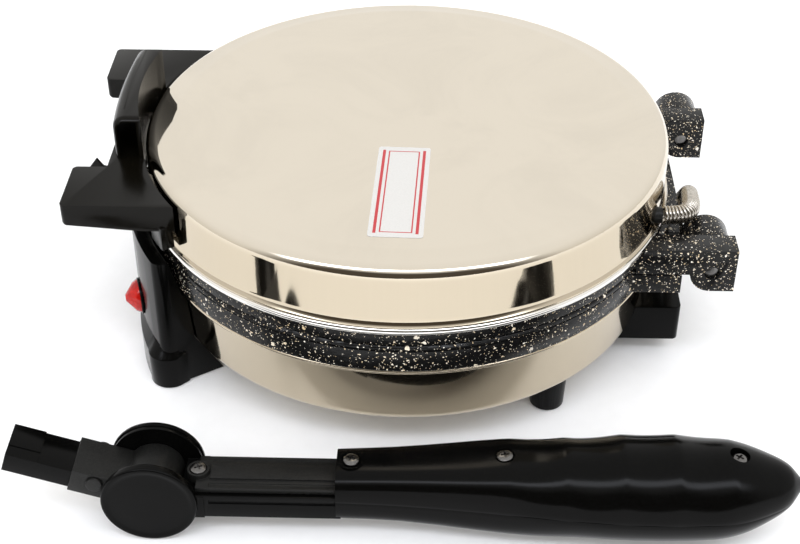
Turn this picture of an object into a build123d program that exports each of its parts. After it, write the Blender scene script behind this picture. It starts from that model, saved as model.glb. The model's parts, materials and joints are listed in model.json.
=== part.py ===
from build123d import *
from math import acos, asin, cos, degrees, radians, sin, sqrt
import os

os.makedirs("parts", exist_ok=True)

# ---------------------------------------------------------------- sizes, in mm
# Frame while modelling: the cooker's own axis is Z, the table is z = 0,
# the user's side is -Y and the rear hinge is at +Y.

seat = 0.1                 # gap between seated faces
slip = 0.3                 # gap between curved faces on different pieces
run_fit = 0.05             # radial gap of a turning pin
screw_fit = 0.1            # radial gap round a screw

# both plates; the cooker's other radii are set off from theirs
plate_r = 124.5
plate_floor_t = 5.0
plate_wall_t = 6.5

# lid cover
lid_over = 0.5             # the cover's side wall outside the plates
lid_r = plate_r + lid_over
sheet_t = 0.8
flat_inset = 14.0
flat_r = lid_r - flat_inset  # flat disc of the lid's top
step_w = 1.2               # width of the pressed step round the flat disc
step_h = 0.5
shoulder_r = 6.0
shoulder_drop = 1.0        # fall of the sloped rim between step and shoulder
cover_h = 31.0             # foot of the cover to the flat top
foot_flare = 1.6           # outward turn at the cover's foot

# stack heights, from the table up
foot_h = 20.0
bowl_h = 33.4
bottom_plate_h = 14.0
plate_gap = 0.8
top_plate_h = 6.8
ring_h = 3.7
ring_proud = 2.2

bowl_floor_z = foot_h
bowl_rim_z = bowl_floor_z + bowl_h
bottom_plate_z = bowl_rim_z + seat
cook_face_z = bottom_plate_z + bottom_plate_h
top_face_z = cook_face_z + plate_gap
top_plate_z = top_face_z + top_plate_h
ring_z = top_plate_z + seat
cover_foot_z = ring_z + ring_h + seat
lid_top_z = cover_foot_z + cover_h

# rims and rear webs of the plates
seam_h = 0.7               # shallow groove round the bottom plate's rim
seam_depth = 0.8
seam_drop = 2.2
web_w = 2.6                # rear web of the top plate, outside the trim ring
web_top_z = top_plate_z + 1.0
base_web_back = 8.7        # rear web of the bottom plate, behind the plate's rim
base_web_h = 6.0
base_web_drop = 0.1

# bowl
bowl_inset = 2.5
bowl_taper = 2.5
bowl_r = plate_r - bowl_inset      # at the rim
bowl_foot_r = bowl_r - bowl_taper  # at the bottom corner
bowl_corner = 5.5
bowl_t = 1.0
bead_r = 1.1               # rolled rim of the bowl
bead_out = 0.9             # the roll's centre outside the bowl's rim radius

# hinge
hinge_back = 17.5          # hinge axis behind the plates' rim
hinge_y = plate_r + hinge_back
hinge_drop = 1.5           # hinge axis below the cooking face
hinge_z = cook_face_z - hinge_drop
arm_x = 52.0               # inner face of an arm
arm_t = 13.0
arm_end = 11.0             # arm's end behind the hinge axis
arm_top = 12.5             # arm's top above the hinge axis
arm_root = 21.5            # an arm starts this far inside the plate's rim
knuckle_r = 10.0
arm_low = 0.9              # arm's underside below the hinge axis
ear_w = 18.6
ear_r = 11.3               # ear's own knuckle
ear_root = 38.5
ear_gap = 0.3
ear_top = 1.0              # ear's top above the hinge axis
ear_low = 8.0              # ear's underside below the hinge axis
pin_r = 3.4
pin_recess = 1.5
clip_t = 1.0
clip_r = 5.6
lug_back = 4.0             # the bottom plate's lug behind its rim
lug_y = plate_r + lug_back
lug_h = 9.6
lug_gap = 0.8
hinge_shifts = (0.0, -2 * arm_x - arm_t)  # two like hinges, each ear on its arm's -X side

# inside the lid and the base
element_inset = 34.0       # from the plate's inner wall
element_r = plate_r - plate_wall_t - element_inset
element_tube = 3.25
element_gap_deg = 24.0
terminal_r = 1.6
terminal_len = 12.0
spreader_over = 12.0
spreader_r = element_r + spreader_over
spreader_t = 1.0
low_spreader_drop = 13.5   # the lower spreader under the plate's floor
stud_count = 3
stud_pitch_r = 58.0
stud_r = 4.0
stud_neck_r = 2.0
stud_h = 11.0
nut_r = 4.2
nut_t = 3.0
pad_soft_t = 14.0
pad_soft_gap = 1.5
fuse_r = 3.0
fuse_len = 16.0
wire_r = 1.2

# front housing
house_depth = 14.0         # outside of the bowl's rim
house_r = bowl_r + house_depth
house_over = 4.0           # top above the cooking face
house_h = cook_face_z + house_over
house_deg = 33.5           # half angle each side of the front
house_wall = 2.6
house_toe_in = 13.0        # the toe reaches in under the bowl
house_toe_r = bowl_foot_r - house_toe_in
house_lip_t = 6.5
house_lip_r = house_r - house_lip_t
house_corner_r = 5.5        # upright corners in plan
heel_proud = 4.0           # the low heel at each end, outside the housing's wall
heel_h = 22.0
heel_slope_h = 5.5
heel_slope_w = 3.7

# indicator
lamp_deg = 18.0            # round from the front, toward +X
lamp_up = 10.4             # above the bowl's floor
lamp_z = bowl_floor_z + lamp_up
lens_r = 8.5
lens_stem_r = 6.0
lens_proud = 7.6
bezel_r = 9.0
bezel_t = 0.8

# rear box and feet
box_x = 42.0
box_back = 10.5            # behind the plates' rim
box_y = plate_r + box_back
box_len = 38.0
box_screw_x = 30.0
box_z = 8.7
box_h = 19.5
box_wall = 2.2
gland_r = 7.5
gland_hole_r = 4.2
gland_proud = 5.0
foot_r = 9.0
foot_toe_r = 8.0
foot_inset = 14.5
foot_pitch_r = bowl_foot_r - foot_inset
foot_deg = 41.0
foot_screw_r = 2.0

# cable sleeve
sleeve_r = 4.5
sleeve_bore_r = 3.0
sleeve_up = 4.2            # its upper end above the cover's foot
sleeve_z = cover_foot_z + sleeve_up
sleeve_near_x = 43.0       # where it meets the lid
sleeve_far_x = -17.0       # and the bowl
sleeve_low_z = bowl_rim_z - 8.4
sleeve_back = 14.0         # its loop behind the plates' rim

# lid bracket
arm_out_x = 74.0
arm_in_x = 41.0
bracket_reach = 28.5       # from the lid's wall to the arms' front ends
bracket_y = lid_r + bracket_reach
bracket_drop = 6.0         # the arms' top below the lid's top
bracket_top_z = lid_top_z - bracket_drop
bracket_h = 13.0
bracket_root = 45.0
bracket_gap = 1.4          # from the lid's wall to the bracket
bracket_clip_h = 9.5
bracket_clip_t = 6.0
hump_x = 33.6
hump_reach = 11.8
hump_front = lid_r + hump_reach
hump_bow = 2.0              # its front wall is this much fuller in the middle
hump_h = 21.5
hump_t = 2.0
hump_round = 6.0
hump_back_round = 4.0
screw_r = 2.0
screw_head_r = 3.6
screw_head_t = 2.2

# socket for the handle
socket_x = 13.4
socket_t = 1.6
socket_len = 14.0

# handle
disc_r = 20.5
disc_t = 2.4
cheek_t = 2.0
cheek_r = 19.9
arm_w = 21.0               # width of the short arm
arm_side_gap = 0.25
handle_gap = 35.25         # from the lid's wall to the lever's centre line
handle_x = lid_r + handle_gap
pivot_y = -105.0
pivot_pin_r = 4.0
arm_deg = 18.5             # the short arm's pitch as it rests
sleeve_len = 34.5
sleeve_high = 4.2           # the arm's top above its centre line
sleeve_low = 7.6            # and its underside below it
sleeve_end_r = 12.0
plug_len = 63.0
plug_w = 18.6
plug_high = 3.0
plug_low = 6.8
plug_wall = 1.6
plug_root = 19.0
plug_strip_w = 5.8          # lower strip along the plug's outer edge
shaft_w = 24.0
shaft_z = 11.5
shaft_h = 12.0
shaft_start = -86.0
shaft_end = -24.0
shaft_wall = 2.2
core_w = 9.0
core_t = 5.0
core_end = 60.0
grip_scale = 1.05          # width of the grip over its height
grip_half_w = 23.3
rivet_r = 3.6               # head of the rivet through arm and plug
rivet_neck_r = 2.0
rivet_at = 24.2
rivet_proud = 1.2
label_x = 66.5
label_w = 73.0
label_h = 24.0
label_t = 0.12

beyond = 300.0             # length of a cutting tool that passes right through

pivot_z = disc_r
fork_gap = arm_w + 2 * arm_side_gap
fork_out = fork_gap + 2 * cheek_t

# the row's origin is under the middle of everything, on the table
reach_neg_x = lid_r + ring_proud
reach_pos_x = handle_x + grip_half_w
shift_x = -(reach_pos_x - reach_neg_x) / 2
grip_tip_y = 171.0
grip_mid_y = 70.0
plug_tip_y = pivot_y - plug_len * cos(radians(arm_deg)) - plug_low * sin(radians(arm_deg))
shift_y = -(grip_tip_y + plug_tip_y) / 2
to_row = Location((shift_x, shift_y, 0))


def save(piece, name):
    """Label a finished piece, move it to the row's origin and write its file."""
    shape = piece.part.moved(to_row)
    shape.label = name
    export_step(shape, "parts/" + name + ".step")


def ring_sector(part_r0, part_r1, z0, z1, deg0, deg1):
    """Flat-topped sector of a ring, from angle deg0 to deg1 about Z."""
    with BuildPart() as sector:
        with BuildSketch(Plane.XZ):
            with Locations(((part_r0 + part_r1) / 2, (z0 + z1) / 2)):
                Rectangle(part_r1 - part_r0, z1 - z0)
        revolve(axis=Axis.Z, revolution_arc=deg1 - deg0)
    return sector.part.rotate(Axis.Z, deg0)


# ---------------------------------------------------------------- lid
wall_in_r = lid_r - sheet_t
grommet_r = 3.8
grommet_y = sqrt(lid_r ** 2 - sleeve_near_x ** 2)
screw_deg = 13.0           # bracket screws, each side of the front
rim_z = lid_top_z - step_h - shoulder_drop

with BuildPart() as lid_cover:
    with BuildSketch(Plane.XZ):
        with BuildLine():
            Polyline(
                (0, lid_top_z), (flat_r, lid_top_z), (flat_r + step_w, lid_top_z - step_h),
                (lid_r - shoulder_r, rim_z),
            )
            RadiusArc((lid_r - shoulder_r, rim_z), (lid_r, rim_z - shoulder_r), shoulder_r)
            Polyline(
                (lid_r, rim_z - shoulder_r), (lid_r, cover_foot_z + 2.6),
                (lid_r + foot_flare, cover_foot_z + 0.9), (lid_r + foot_flare, cover_foot_z),
                (wall_in_r, cover_foot_z), (wall_in_r, rim_z - shoulder_r),
            )
            RadiusArc(
                (wall_in_r, rim_z - shoulder_r), (lid_r - shoulder_r, rim_z - sheet_t),
                -(shoulder_r - sheet_t),
            )
            Polyline(
                (lid_r - shoulder_r, rim_z - sheet_t),
                (flat_r + step_w, lid_top_z - step_h - sheet_t),
                (flat_r, lid_top_z - sheet_t), (0, lid_top_z - sheet_t), (0, lid_top_z),
            )
        make_face()
    revolve(axis=Axis.Z)
    with Locations((sleeve_near_x, grommet_y, sleeve_z)):
        Cylinder(grommet_r + 0.2, 14, rotation=(90, 0, 0), mode=Mode.SUBTRACT)
    for deg in (-90 - screw_deg, -90 + screw_deg):
        with Locations(Location((0, 0, bracket_top_z - bracket_h + 5), (0, 0, deg))):
            with Locations((lid_r, 0, 0)):
                Cylinder(screw_r + screw_fit, 6, rotation=(0, 90, 0), mode=Mode.SUBTRACT)
save(lid_cover, "lid_cover")

ring_out_r = lid_r + ring_proud
ring_in_r = lid_r - 2.5
with BuildPart() as lid_trim_ring:
    with BuildSketch(Plane.XZ):
        with BuildLine():
            Polyline(
                (ring_out_r - ring_h / 2, ring_z), (ring_in_r, ring_z), (ring_in_r, ring_z + ring_h),
                (ring_out_r - ring_h / 2, ring_z + ring_h),
            )
            ThreePointArc(
                (ring_out_r - ring_h / 2, ring_z + ring_h), (ring_out_r, ring_z + ring_h / 2),
                (ring_out_r - ring_h / 2, ring_z),
            )
        make_face()
    revolve(axis=Axis.Z)
save(lid_trim_ring, "lid_trim_ring")

web_in_r = ring_out_r + slip
web_out_r = web_in_r + web_w
web_deg = degrees(asin(arm_x / web_out_r)) + 3
groove_z = top_face_z + plate_floor_t
arm_bottom_z = hinge_z - arm_low
arm_top_z = hinge_z + arm_top

with BuildPart() as top_cooking_plate:
    with BuildSketch(Plane.XY.offset(top_face_z)):
        Circle(plate_r)
    extrude(amount=top_plate_h)
    fillet(top_cooking_plate.edges().group_by(Axis.Z)[0], 0.5)
    with BuildSketch(Plane.XY.offset(groove_z)):
        Circle(plate_r - plate_wall_t)
    extrude(amount=top_plate_h, mode=Mode.SUBTRACT)
    with Locations((0, 0, groove_z)):
        with PolarLocations(stud_pitch_r, stud_count, 30):
            Cylinder(stud_r + 2.5, 2.0, align=(Align.CENTER, Align.CENTER, Align.MIN))
    add(ring_sector(plate_r - 2, web_out_r, top_face_z, top_plate_z, 90 - web_deg, 90 + web_deg))
    add(ring_sector(web_in_r, web_out_r, top_face_z, web_top_z, 90 - web_deg, 90 + web_deg))
    arm_root_y = plate_r - arm_root
    for shift in hinge_shifts:
        with BuildSketch(Plane.YZ.offset(arm_x + shift)):
            with Locations(((arm_root_y + hinge_y + arm_end) / 2, (arm_bottom_z + arm_top_z) / 2)):
                Rectangle(hinge_y + arm_end - arm_root_y, arm_top_z - arm_bottom_z)
            with Locations((hinge_y, hinge_z)):
                Circle(knuckle_r)
            with Locations((hinge_y + arm_end / 2, hinge_z - knuckle_r / 2)):
                Rectangle(arm_end, knuckle_r)
        extrude(amount=arm_t)
    # room for the trim ring, the cover and the bottom plate
    with BuildSketch(Plane.XY.offset(top_plate_z)):
        Circle(web_in_r)
        Circle(plate_r - plate_wall_t - 4, mode=Mode.SUBTRACT)
    extrude(amount=cover_h + ring_h, mode=Mode.SUBTRACT)
    with BuildSketch(Plane.XY.offset(top_face_z)):
        Circle(plate_r + slip + 0.5)
    extrude(amount=-bottom_plate_h, mode=Mode.SUBTRACT)
    # knuckle bores
    with Locations((0, hinge_y, hinge_z)):
        Cylinder(pin_r + run_fit, beyond, rotation=(0, 90, 0), mode=Mode.SUBTRACT)
    # groove for the heating element, and stud bores
    with BuildSketch(Plane.XZ):
        with Locations((element_r, groove_z + 1.2)):
            Circle(element_tube + run_fit)
    revolve(axis=Axis.Z, mode=Mode.SUBTRACT)
    with Locations((0, 0, groove_z - 2)):
        with PolarLocations(stud_pitch_r, stud_count, 30):
            Cylinder(
                stud_neck_r + screw_fit, 12, mode=Mode.SUBTRACT,
                align=(Align.CENTER, Align.CENTER, Align.MIN),
            )
save(top_cooking_plate, "top_cooking_plate")

element_z = groove_z + 1.2
element_arc = 360 - element_gap_deg
with BuildPart() as top_heating_element:
    with BuildSketch(Plane.XZ):
        with Locations((element_r, element_z)):
            Circle(element_tube)
    revolve(axis=Axis.Z, revolution_arc=element_arc)
top_heating_element.part = top_heating_element.part.rotate(Axis.Z, 90 + element_gap_deg / 2)
save(top_heating_element, "top_heating_element")

term_x = element_r * sin(radians(element_gap_deg / 2 + 2.4))
term_y = element_r * cos(radians(element_gap_deg / 2 + 2.4))
term_z = element_z + element_tube + 0.05
with BuildPart() as top_element_terminals:
    with Locations((term_x, term_y, term_z), (-term_x, term_y, term_z)):
        Cylinder(terminal_r, terminal_len, align=(Align.CENTER, Align.CENTER, Align.MIN))
save(top_element_terminals, "top_element_terminals")

stud_foot_z = groove_z + 2.0
stud_top_z = stud_foot_z + seat + stud_h
with BuildPart() as lid_studs:
    with Locations((0, 0, 0)):
        with PolarLocations(stud_pitch_r, stud_count, 30):
            with Locations((0, 0, stud_foot_z + seat)):
                Cylinder(stud_r, stud_h, align=(Align.CENTER, Align.CENTER, Align.MIN))
            with Locations((0, 0, groove_z - 1.8)):
                Cylinder(
                    stud_neck_r, stud_h + 3.9 + spreader_t + nut_t + 2,
                    align=(Align.CENTER, Align.CENTER, Align.MIN),
                )
save(lid_studs, "lid_studs")

spreader_z = stud_top_z + seat
with BuildPart() as top_heat_spreader:
    with BuildSketch(Plane.XY.offset(spreader_z)):
        Circle(spreader_r)
        with PolarLocations(stud_pitch_r, stud_count, 30):
            Circle(stud_neck_r + screw_fit, mode=Mode.SUBTRACT)
        with Locations((term_x, term_y), (-term_x, term_y)):
            Circle(terminal_r + 3, mode=Mode.SUBTRACT)
    extrude(amount=spreader_t)
save(top_heat_spreader, "top_heat_spreader")

nut_z = spreader_z + spreader_t + seat
with BuildPart() as lid_stud_nuts:
    with BuildSketch(Plane.XY.offset(nut_z)):
        with PolarLocations(stud_pitch_r, stud_count, 30):
            RegularPolygon(nut_r, 6)
            Circle(stud_neck_r + screw_fit, mode=Mode.SUBTRACT)
    extrude(amount=nut_t)
save(lid_stud_nuts, "lid_stud_nuts")

soft_top_z = lid_top_z - sheet_t - slip
with BuildPart() as lid_insulation:
    with BuildSketch(Plane.XY.offset(soft_top_z - pad_soft_t)):
        Circle(flat_r - pad_soft_gap)
    extrude(amount=pad_soft_t)
save(lid_insulation, "lid_insulation")

fuse_z = groove_z + fuse_r + seat
with BuildPart() as thermal_fuse:
    with Locations((0, 28, fuse_z)):
        Cylinder(fuse_r, fuse_len, rotation=(0, 90, 0))
        Cylinder(0.6, fuse_len + 12, rotation=(0, 90, 0))
save(thermal_fuse, "thermal_fuse")

wire_top_z = term_z + terminal_len + seat
with BuildPart() as lid_wires:
    for start_x, end_x in ((term_x, sleeve_near_x + 1.4), (-term_x, sleeve_near_x - 1.4)):
        with BuildLine() as lead:
            Bezier(
                (start_x, term_y, wire_top_z), (start_x, term_y + 2, wire_top_z + 5.6),
                ((start_x + end_x) / 2, grommet_y - 21, wire_top_z + 5.0),
                (end_x, grommet_y - 18, sleeve_z), (end_x, grommet_y - 8, sleeve_z),
            )
            Line((end_x, grommet_y - 8, sleeve_z), (end_x, grommet_y + 1.6, sleeve_z))
        with BuildSketch(Plane(origin=(start_x, term_y, wire_top_z), z_dir=(0, 0, 1))):
            Circle(wire_r)
        sweep(path=lead.line)
save(lid_wires, "lid_wires")

with BuildPart() as lid_label:
    with BuildSketch(Plane.XY.offset(lid_top_z + 0.02)):
        with Locations((label_x, -1.5)):
            RectangleRounded(label_w, label_h, 1.5, rotation=-2)
    extrude(amount=label_t)
save(lid_label, "lid_label")

with BuildPart() as lid_cable_clip:
    with Locations((sleeve_near_x, grommet_y - 0.8, sleeve_z)):
        Cylinder(grommet_r, 6.4, rotation=(90, 0, 0))
    with Locations((sleeve_near_x, grommet_y - 3.6, sleeve_z)):
        Cylinder(grommet_r + 0.6, 1.2, rotation=(90, 0, 0))
    with Locations((sleeve_near_x, grommet_y, sleeve_z)):
        Cylinder(sleeve_bore_r, 16, rotation=(90, 0, 0), mode=Mode.SUBTRACT)
save(lid_cable_clip, "lid_cable_clip")

# ---------------------------------------------------------------- lid bracket
bracket_in_r = lid_r + bracket_gap
bracket_low_z = bracket_top_z - bracket_h
block_y = hump_front + 1.0
clip_low_z = bracket_low_z - bracket_clip_h
hump_top_z = bracket_top_z + hump_h

def hump_plan(wall):
    """The hump's plan, less a wall all round: a bowed front and a back that follows the lid."""
    with BuildSketch(Plane.XY.offset(bracket_top_z)) as plan:
        with BuildLine():
            ThreePointArc(
                (-hump_x - 1, wall + hump_bow - hump_front), (0, wall - hump_front),
                (hump_x + 1, wall + hump_bow - hump_front),
            )
            Polyline(
                (hump_x + 1, wall + hump_bow - hump_front), (hump_x + 1, hump_reach - lid_r),
                (-hump_x - 1, hump_reach - lid_r), (-hump_x - 1, wall + hump_bow - hump_front),
            )
        make_face()
        Circle(bracket_in_r + wall, mode=Mode.SUBTRACT)
    return plan.sketch


with BuildPart() as hump_hollow:
    add(hump_plan(hump_t))
    extrude(amount=hump_h - hump_t)
    fillet(hump_hollow.edges().group_by(Axis.Z)[-1].sort_by(Axis.Y)[0], hump_round - hump_t)
    fillet(hump_hollow.edges().group_by(Axis.Z)[-1].sort_by(Axis.Y)[-1], hump_back_round - hump_t)

with BuildPart() as lid_front_bracket:
    with BuildSketch(Plane.XY.offset(bracket_low_z)):
        with BuildLine():
            Polyline(
                (-arm_out_x, -bracket_y), (-arm_in_x, -bracket_y), (-arm_in_x, -block_y),
                (arm_in_x, -block_y), (arm_in_x, -bracket_y), (arm_out_x, -bracket_y),
                (arm_out_x, bracket_root - lid_r), (-arm_out_x, bracket_root - lid_r),
                (-arm_out_x, -bracket_y),
            )
        make_face()
        Circle(bracket_in_r, mode=Mode.SUBTRACT)
    extrude(amount=bracket_h)
    front_corners = lid_front_bracket.edges().filter_by(Axis.Z).group_by(Axis.Y)[0]
    fillet(front_corners, 2.5)
    # the arms thin toward their front ends
    with BuildSketch(Plane.YZ.offset(-arm_out_x - 1)):
        with BuildLine():
            Polyline(
                (-bracket_y - 1, bracket_low_z - 1), (-bracket_y - 1, bracket_low_z + 4.2),
                (-bracket_y + 2, bracket_low_z + 2.6), (-lid_r + 7, bracket_low_z),
                (-lid_r + 7, bracket_low_z - 1), (-bracket_y - 1, bracket_low_z - 1),
            )
        make_face()
    extrude(amount=2 * arm_out_x + 2, mode=Mode.SUBTRACT)
    # hollow hump across the arms, open at both ends; its rear wall follows the lid
    with BuildPart(mode=Mode.PRIVATE) as hump:
        add(hump_plan(0))
        extrude(amount=hump_h)
        fillet(hump.edges().group_by(Axis.Z)[-1].sort_by(Axis.Y)[0], hump_round)
        fillet(hump.edges().group_by(Axis.Z)[-1].sort_by(Axis.Y)[-1], hump_back_round)
        with Locations((0, -hump_front, hump_top_z)):
            Box(2 * hump_x, beyond, 4 * hump_h, mode=Mode.INTERSECT)
    add(hump.part)
    add(hump_hollow.part, mode=Mode.SUBTRACT)
    # clips that reach down the lid's wall behind each arm
    for side in (1, -1):
        clip_deg = -90 + side * degrees(asin((arm_out_x - 5) / (bracket_in_r + 3)))
        clip_low = ring_sector(
            bracket_in_r, bracket_in_r + bracket_clip_t, clip_low_z, bracket_low_z + 2,
            clip_deg - 2.6, clip_deg + 2.6,
        )
        add(clip_low)
    # bosses against the lid's wall, with the holes for the screws from inside it
    for deg in (-90 - screw_deg, -90 + screw_deg):
        with Locations(Location((0, 0, bracket_low_z + 5), (0, 0, deg))):
            with Locations((lid_r + seat, 0, 0)):
                Cylinder(
                    screw_head_r, bracket_gap + 1, rotation=(0, 90, 0),
                    align=(Align.CENTER, Align.CENTER, Align.MIN),
                )
            with Locations((bracket_in_r + 4, 0, 0)):
                Cylinder(screw_r + screw_fit, 14, rotation=(0, 90, 0), mode=Mode.SUBTRACT)
save(lid_front_bracket, "lid_front_bracket")

with BuildPart() as bracket_screws:
    for deg in (-90 - screw_deg, -90 + screw_deg):
        with Locations(Location((0, 0, bracket_low_z + 5), (0, 0, deg))):
            with Locations((wall_in_r - 0.2 - screw_head_t / 2, 0, 0)):
                Cylinder(screw_head_r, screw_head_t, rotation=(0, 90, 0))
            with Locations((wall_in_r + 4, 0, 0)):
                Cylinder(screw_r, 9, rotation=(0, 90, 0))
save(bracket_screws, "bracket_screws")

socket_root = block_y + seat
with BuildPart() as handle_socket:
    with Locations((0, -socket_root, bracket_low_z + bracket_h / 2)):
        Box(
            2 * socket_x, socket_t, bracket_h - 4,
            align=(Align.CENTER, Align.MAX, Align.CENTER),
        )
    # one pointed hook that the lever's plug catches behind
    with BuildSketch(Plane.YZ.offset(socket_x - socket_t)):
        with BuildLine():
            Polyline(
                (-socket_root, bracket_low_z + 4), (-socket_root - 4, bracket_low_z - 5.5),
                (-socket_root - 8.9, bracket_low_z - 4.3), (-socket_root - 11.7, bracket_low_z),
                (-socket_root - socket_len - 1.5, bracket_low_z - 5),
                (-socket_root - socket_len - 1.5, bracket_low_z - 8),
                (-socket_root, bracket_low_z - 8), (-socket_root, bracket_low_z + 4),
            )
        make_face()
    extrude(amount=socket_t)
save(handle_socket, "handle_socket")

# ---------------------------------------------------------------- base
bowl_in_low = bowl_foot_r - bowl_t
floor_in_z = bowl_floor_z + bowl_t
bead_z = bowl_rim_z - bead_r
wall_slope = (bowl_r - bowl_foot_r) / (bowl_rim_z - bowl_floor_z - bowl_corner)
post_deg = 30.0
block_y_in = 64.0           # terminal block's middle behind the axis


def bowl_wall_r(z):
    """Outside radius of the bowl's wall at height z."""
    return bowl_foot_r + (z - bowl_floor_z - bowl_corner) * wall_slope


low_grommet_y = sqrt(bowl_wall_r(sleeve_low_z) ** 2 - sleeve_far_x ** 2)
box_screw_y = foot_pitch_r
box_hole_y = box_screw_y + 2
bowl_screw_z = bowl_rim_z - 9.4
bowl_screws = [(-90, bowl_screw_z), (-68, bowl_screw_z), (-112, bowl_screw_z)]
with BuildPart() as base_bowl:
    with BuildSketch(Plane.XZ):
        with BuildLine():
            Polyline((0, bowl_floor_z), (bowl_foot_r - bowl_corner, bowl_floor_z))
            RadiusArc(
                (bowl_foot_r - bowl_corner, bowl_floor_z),
                (bowl_foot_r, bowl_floor_z + bowl_corner), -bowl_corner,
            )
            Polyline(
                (bowl_foot_r, bowl_floor_z + bowl_corner), (bowl_r, bowl_rim_z),
                (bowl_r - bowl_t, bowl_rim_z), (bowl_in_low, bowl_floor_z + bowl_corner),
            )
            RadiusArc(
                (bowl_in_low, bowl_floor_z + bowl_corner),
                (bowl_foot_r - bowl_corner, floor_in_z), bowl_corner - bowl_t,
            )
            Polyline(
                (bowl_foot_r - bowl_corner, floor_in_z), (0, floor_in_z), (0, bowl_floor_z),
            )
        make_face()
        with Locations((bowl_r + bead_out, bead_z)):
            Circle(bead_r)
        with Locations((bowl_r + bead_out / 2 - 0.4, bead_z)):
            Rectangle(bead_out + 0.8, 1.4)
    revolve(axis=Axis.Z)
    for deg, z in bowl_screws:
        with Locations(Location((0, 0, z), (0, 0, deg))):
            with Locations((bowl_r, 0, 0)):
                Cylinder(screw_r + screw_fit, 12, rotation=(0, 90, 0), mode=Mode.SUBTRACT)
    with Locations(Location((0, 0, lamp_z), (0, 0, -90 + lamp_deg))):
        with Locations((bowl_r, 0, 0)):
            Cylinder(2.6, 12, rotation=(0, 90, 0), mode=Mode.SUBTRACT)
    with Locations((sleeve_far_x, low_grommet_y, sleeve_low_z)):
        Cylinder(grommet_r + 0.2, 14, rotation=(90, 0, 0), mode=Mode.SUBTRACT)
    with Locations((0, 0, bowl_floor_z)):
        with PolarLocations(stud_pitch_r, stud_count, post_deg):
            Cylinder(screw_r + screw_fit, 6, mode=Mode.SUBTRACT)
        for deg in (foot_deg, 180 - foot_deg):
            with Locations((foot_pitch_r * cos(radians(deg)), foot_pitch_r * sin(radians(deg)), 0)):
                Cylinder(foot_screw_r + screw_fit, 6, mode=Mode.SUBTRACT)
        with Locations((0, box_hole_y, 0)):
            Cylinder(5.0, 6, mode=Mode.SUBTRACT)
        with Locations((box_screw_x, box_screw_y, 0), (-box_screw_x, box_screw_y, 0)):
            Cylinder(foot_screw_r + screw_fit, 6, mode=Mode.SUBTRACT)
save(base_bowl, "base_bowl")

under_z = cook_face_z - plate_floor_t
low_element_z = under_z - 1.2
lug_top_z = arm_bottom_z - lug_gap
ear_top_z = hinge_z + ear_top
ear_low_z = hinge_z - ear_low
ear_x1 = arm_x - ear_gap
ear_x0 = ear_x1 - ear_w
with BuildPart() as bottom_cooking_plate:
    with BuildSketch(Plane.XY.offset(bottom_plate_z)):
        Circle(plate_r)
    extrude(amount=bottom_plate_h)
    fillet(bottom_cooking_plate.edges().group_by(Axis.Z)[-1], 1.4)
    fillet(bottom_cooking_plate.edges().group_by(Axis.Z)[0], 1.0)
    # shallow groove round the rim, under the cooking face
    with BuildSketch(Plane.XZ):
        with Locations((plate_r, cook_face_z - seam_drop - seam_h / 2)):
            Rectangle(2 * seam_depth, seam_h)
    revolve(axis=Axis.Z, mode=Mode.SUBTRACT)
    for shift in hinge_shifts:
        with Locations((arm_x + arm_t / 2 + shift, plate_r - ear_root, lug_top_z)):
            Box(arm_t, lug_y - plate_r + ear_root, lug_h, align=(Align.CENTER, Align.MIN, Align.MAX))
        with BuildSketch(Plane.YZ.offset(ear_x0 + shift)):
            with Locations(((plate_r - ear_root + hinge_y) / 2, (ear_low_z + ear_top_z) / 2)):
                Rectangle(hinge_y - plate_r + ear_root, ear_top_z - ear_low_z)
            with Locations((hinge_y, hinge_z)):
                Circle(ear_r)
        extrude(amount=ear_w)
    # rear web between the near ear and the far arm
    with Locations(((ear_x0 + 1 - ear_x1) / 2, plate_r - 10, cook_face_z - base_web_drop)):
        Box(
            ear_x1 + ear_x0 + 1, base_web_back + 10, base_web_h,
            align=(Align.CENTER, Align.MIN, Align.MAX),
        )
    with BuildSketch(Plane.XY.offset(bottom_plate_z - 1)):
        Circle(plate_r - plate_wall_t)
    extrude(amount=under_z - bottom_plate_z + 1, mode=Mode.SUBTRACT)
    with Locations((0, 0, under_z)):
        with PolarLocations(stud_pitch_r, stud_count, post_deg):
            Cylinder(stud_r + 2.5, 2.0, align=(Align.CENTER, Align.CENTER, Align.MAX))
            Cylinder(
                stud_neck_r + screw_fit, 8.5, mode=Mode.SUBTRACT,
                align=(Align.CENTER, Align.CENTER, Align.CENTER),
            )
    with BuildSketch(Plane.XZ):
        with Locations((element_r, low_element_z)):
            Circle(element_tube + run_fit)
    revolve(axis=Axis.Z, mode=Mode.SUBTRACT)
    with Locations((0, hinge_y, hinge_z)):
        Cylinder(pin_r + run_fit, beyond, rotation=(0, 90, 0), mode=Mode.SUBTRACT)
save(bottom_cooking_plate, "bottom_cooking_plate")

with BuildPart() as bottom_heating_element:
    with BuildSketch(Plane.XZ):
        with Locations((element_r, low_element_z)):
            Circle(element_tube)
    revolve(axis=Axis.Z, revolution_arc=element_arc)
bottom_heating_element.part = bottom_heating_element.part.rotate(Axis.Z, 90 + element_gap_deg / 2)
save(bottom_heating_element, "bottom_heating_element")

low_term_z = low_element_z - element_tube - 0.05
with BuildPart() as bottom_element_terminals:
    with Locations((term_x, term_y, low_term_z), (-term_x, term_y, low_term_z)):
        Cylinder(terminal_r, terminal_len, align=(Align.CENTER, Align.CENTER, Align.MAX))
save(bottom_element_terminals, "bottom_element_terminals")

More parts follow.
